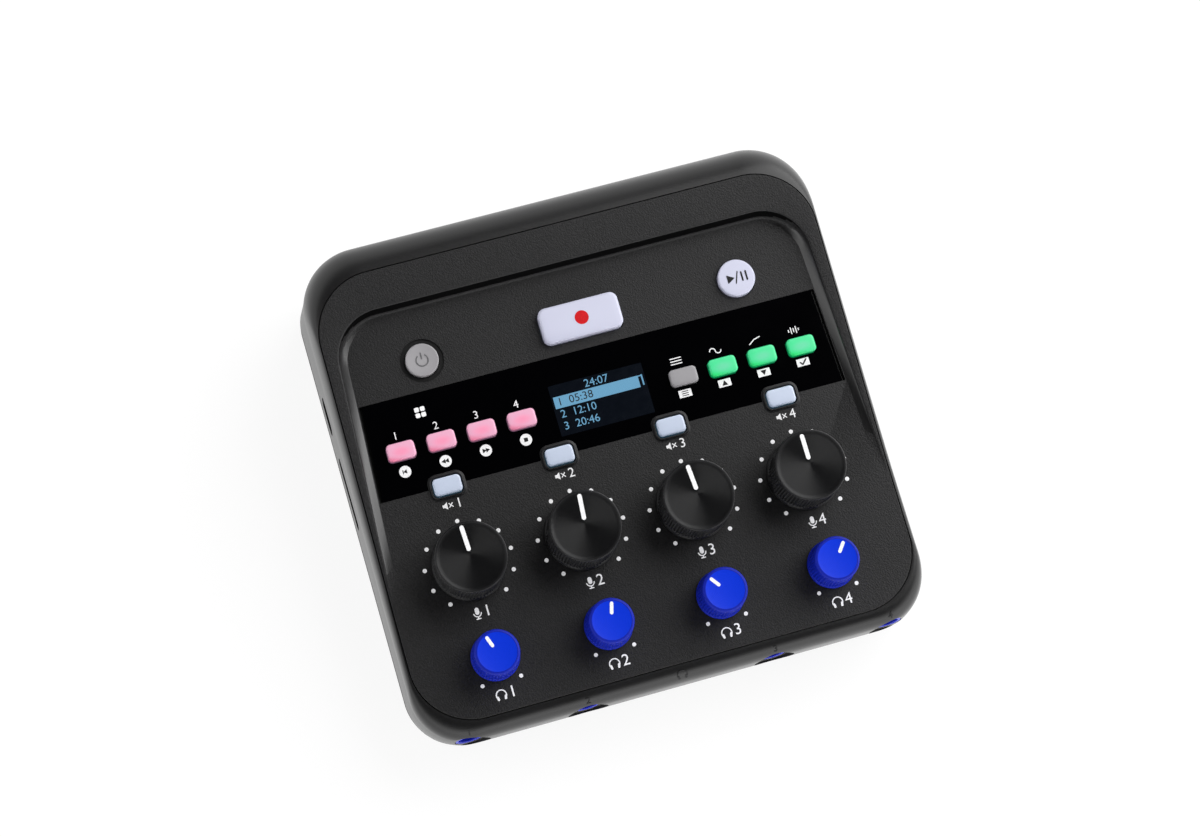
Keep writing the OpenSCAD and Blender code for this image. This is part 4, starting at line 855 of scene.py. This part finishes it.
for name, shape, finish in zip(("ground", "lit", "row"), displayPicture(), (displayGround, litPicture, darkInk)):
    putPiece("display_" + name, shape, finish, 30, "case", "display")

recordAt, playAt, powerAt = (panelAt(x, panel["rowRecord"]) for x in (0, rounds["x"], -rounds["x"]))
recordDot = prism(disc(0.3, 0, 2.05, 48), recordAt, record["top"] - 0.1, record["top"] + 0.13)
putPiece("record_dot", recordDot, redInk, 30, "record_button_body", "button_pale")
playSigns = [triangle(-2.1, 0, 1.5, 0), bar(-0.55, -1.65, 0.6, 1.65, 0.34)] + [bar(x, -1.25, x, 1.25, 0.5) for x in (1.6, 2.95)]
playShape = joined(signAt(playSigns, playAt, rounds["top"] - 0.1, rounds["top"] + 0.12))
putPiece("play_sign", playShape, darkInk, 30, "play_button_body", "button_pale")
powerSigns = [bow(0, -0.1, 1.75, 0.34, 125, 415, 36), bar(0, 0.35, 0, 2.1, 0.36)]
powerShape = joined(signAt(powerSigns, powerAt, rounds["powerTop"] - 0.4, rounds["powerTop"] - 0.13))
putPiece("power_sign", powerShape, greyInk, 30, "power_button_body", "button_grey")
print("marks made")


def frontRoll(x, t, n):  # a place on the rolled front edge: t runs up the quarter ellipse from its middle
    a = 0.9 + np.asarray(t) / 5.6
    k = 1 - np.cos(a)
    r = case["frontR"] + (case["creaseR"] - case["frontR"]) * k
    over = np.maximum(0, np.abs(x) - (creaseHw + case["rollSide"] * (1 - k) - r))  # the outer marks lie where the corners begin
    y = creaseY0 - (case["rollFront"] + n) * np.cos(a) + r - np.sqrt(r * r - over * over)
    z = case["frontH"] - case["rollFrontH"] + (case["rollFrontH"] + n) * np.sin(a)
    return np.stack(np.broadcast_arrays(x, y, z), -1)


def frontPrint():  # small numbers over the jacks and one headphone sign, on the rolled front edge
    marks = [numberShape(str(i + 1), frontRoll, 3.1, x, -0.2, -0.2, 0.24) for i, x in enumerate(jacks["x"])]
    return joined(marks + signAt(headphoneSign(), frontRoll, -0.2, 0.2))


putPiece("front_marks", frontPrint(), darkInk, 30, "case", "case_top")


def closedTurn(place, section, steps):  # a closed section of (radius, height) turned round an axis
    a, p = np.linspace(0, 2 * math.pi, steps, endpoint=False), np.asarray(section, float)
    return closedSkin(place(p[:, :1] * np.cos(a), p[:, :1] * np.sin(a), p[:, 1:2] + 0 * a))


# blue collar of each jack, thin, with a rounded lip
collar = [(3.2, -1.2), (4.1, -1.2), (4.1, -0.3), (4.03, -0.1), (3.85, 0.0), (3.5, 0.0), (3.32, -0.08), (3.22, -0.25), (3.2, -0.45)]
lips = np.add(collar, (0, -jacks["y"]))
ringShape = joined([closedTurn(wallAt("front", x, jacks["z"]), lips, 56) for x in jacks["x"]])
ringUv = np.full((len(ringShape[0]), 2), 0.25)  # all of it counts as a knob's side
putPiece("jack_collars", ringShape, blueRing, 40, "case", "ring_blue", "headphone_rings", uv=ringUv)


def micBarrels():  # barrel with a rounded lip, plug channel and insert, turned as one section, with three contact holes
    o, c, i, front = mics["d"] / 2, mics["plug"] / 2, mics["insert"] / 2, mics["y"]
    profile = [(o, -15.5), (o, -0.5)] + quarter(o - 0.5, -0.5, 0.5, 0, 90) + quarter(c + 0.4, -0.4, 0.4, 90, 180)
    profile += [(c, -13.5), (c - 0.5, -14), (i + 0.3, -14), (i, -13.7), (i, -0.8)]
    profile += quarter(i - 0.5, -0.8, 0.5, 0, 90) + [(i * 0.5, -0.3)]
    places = [wallAt("rear", x, mics["z"]) for x in mics["x"]]
    pins = [disc(x, y, mics["pin"] / 2 + 0.05, 24) for x, y in arc(0, 0, mics["pinRing"], 90, 330, 2)]
    holes = [prism(pin, at, front - 13, front + 1) for at in places for pin in pins]
    return joined([turned(at, np.add(profile, (0, front)), 72)[0] for at in places]), holes


micShape, micHoles = micBarrels()
micObj = makeMesh("mic_barrels", micShape, socketPlastic, 35)
cutAway(micObj, micHoles, 35)
fit(micObj, "case", "socket_black", "mic_sockets")

foot = {"r": 6.0, "top": 2.8, "round": 0.7, "hollow": 0.35}


def feet():  # rubber pad: rounded edge, flat ring that stands, hollow middle
    r, b = foot["r"], foot["round"]
    under = [facing((x * bay["footX"], y * bay["footY"], 0), (-1, 0, 0), (0, 1, 0)) for x in (-1, 1) for y in (-1, 1)]
    profile = [(r, -foot["top"]), (r, -b)] + quarter(r - b, -b, b, 0, 90, 7)
    profile += [(r - 2, 0), (r - 2.3, -0.1), (r - 2.6, -foot["hollow"]), (0.5, -foot["hollow"])]
    return joined([turned(place, profile, 56)[0] for place in under])


putPiece("foot_pads", feet(), rubberFoot, 40, "case", "foot_rubber", "rubber_feet")


def slideKnob(row, length):  # rounded slider with ridges across its travel
    place = wallAt("right", wallRow(row), switches["z"])
    cap, uv = keyCap(place, length, switches["t"], 0.7, 77.8, 0.35, 0.0, switches["x"], 5)
    ridges = [prism(bar(k * 0.85, -0.95, k * 0.85, 0.95, 0.42), place, 77.6, 78.2) for k in np.arange(-2, 3) * (length / 6.4)]
    return joined([cap] + ridges)


for name in ("long", "short"):
    node = "slide_switch_" + name
    putPiece("slider_" + name, slideKnob(*switches[name]), switchPlastic, 35, node + "_body", "switch_black", node)
print("sockets, feet and sliders made")

shafts = " ".join(f"{kind}_shaft_{i}" for kind in ("gain", "volume") for i in (1, 2, 3, 4))
dressed = ((glossStrip, "display_strip"), (boardLacquer, "panel_board main_board"), (brassFinish, "mic_contacts"),
           (innerPlastic, "display_module key_switches gain_controls volume_controls slide_switch_bodies"),
           (steelFinish, "board_screws case_screws charge_port card_socket battery_contacts " + shafts),
           (socketPlastic, "headphone_jacks"), (cellFinish, "battery_cells"), (bottomGrain, "battery_door"))
for finish, nodes in dressed:
    for nodeObj in (frame["nodes"][node] for node in nodes.split()):
        if not nodeObj.material_slots:
            nodeObj.data.materials.append(finish)
        for holder in nodeObj.material_slots:
            holder.material = finish
print("CAD nodes dressed")

studio = {"key": ((0.75, 0.35, 0.75), 1.1, 13.0), "fill": ((-0.9, 0.1, 0.6), 0.9, 1.5),
          "floorGlow": 0.885, "horizon": 1.05, "zenith": 0.01, "mirror": (1.33, 2.6, -1.6), "east": 0.45, "front": 1.4}
for name in ("key", "fill"):
    place, size, power = studio[name]
    lamp = bpy.data.lights.new(name, "AREA")
    lamp.shape, lamp.size, lamp.energy = "SQUARE", size, power
    lampObj = bpy.data.objects.new(name, lamp)
    scene.collection.objects.link(lampObj)
    away = np.array(place) / np.linalg.norm(place)
    across = np.cross((0, 0, 1), away)
    across /= np.linalg.norm(across)
    turn = np.column_stack([across, np.cross(away, across), away, place])
    lampObj.matrix_world = Matrix(np.vstack([turn, (0, 0, 0, 1)]).tolist())

floorMesh = bpy.data.meshes.new("floor")
floorMesh.from_pydata([(-6, -6, 0), (6, -6, 0), (6, 6, 0), (-6, 6, 0)], [], [(0, 1, 2, 3)])
floorObj = bpy.data.objects.new("floor", floorMesh)
scene.collection.objects.link(floorObj)
floorMat = bpy.data.materials.new("pale floor")
floorMat.use_nodes = True
tree = floorMat.node_tree
tree.nodes.clear()
w = Wire(tree)
eye, glossy, through = (w.node("ShaderNodeLightPath", {}, {}, f"Is {ray} Ray") for ray in ("Camera", "Glossy", "Transmission"))
seen = w.math("MAXIMUM", w.math("MAXIMUM", eye, glossy), through)
matt = w.node("ShaderNodeBsdfDiffuse", {}, {"Color": rgb(0.8, 0.8, 0.8)})
thin = w.node("ShaderNodeBsdfDiffuse", {}, {"Color": rgb(0.16, 0.16, 0.16)})
spot = w.node("ShaderNodeTexCoord", {}, {}, "Object")
base, byX, byY = studio["mirror"]  # in reflections the floor is brighter to the right and in front
mirrored = w.math("MINIMUM", w.math("MAXIMUM", spot.part(0) * byX + spot.part(1) * byY + base, 0.85), 1.7)
glow = w.node("ShaderNodeEmission", {}, {"Color": eye * studio["floorGlow"] + (1 - eye) * mirrored, "Strength": 1.0})
pale = w.node("ShaderNodeAddShader", {}, {0: thin, 1: glow})
both = w.node("ShaderNodeMixShader", {}, {0: seen, 1: matt, 2: pale})
w.node("ShaderNodeOutputMaterial", {}, {"Surface": both})
floorMesh.materials.append(floorMat)

world = bpy.data.worlds.new("studio")
scene.world = world
world.use_nodes = True
tree = world.node_tree
tree.nodes.clear()
w = Wire(tree)
way = w.node("ShaderNodeTexCoord", {}, {}, "Object")
dome = way.part(2).between(0.25, 0.75) * (studio["zenith"] - studio["horizon"]) + studio["horizon"]
east, front = w.math("MAXIMUM", way.part(0), 0), w.math("MAXIMUM", way.part(1) * -1, 0)
dome = dome * (east * studio["east"] + front * studio["front"] + 1)
seen = w.node("ShaderNodeLightPath", {}, {}, "Is Camera Ray")
sky = w.node("ShaderNodeBackground", {}, {"Color": rgb(1, 1, 1), "Strength": seen + (1 - seen) * dome})
w.node("ShaderNodeOutputWorld", {}, {"Surface": sky})
scene.view_settings.view_transform = "Standard"
print("studio lit")
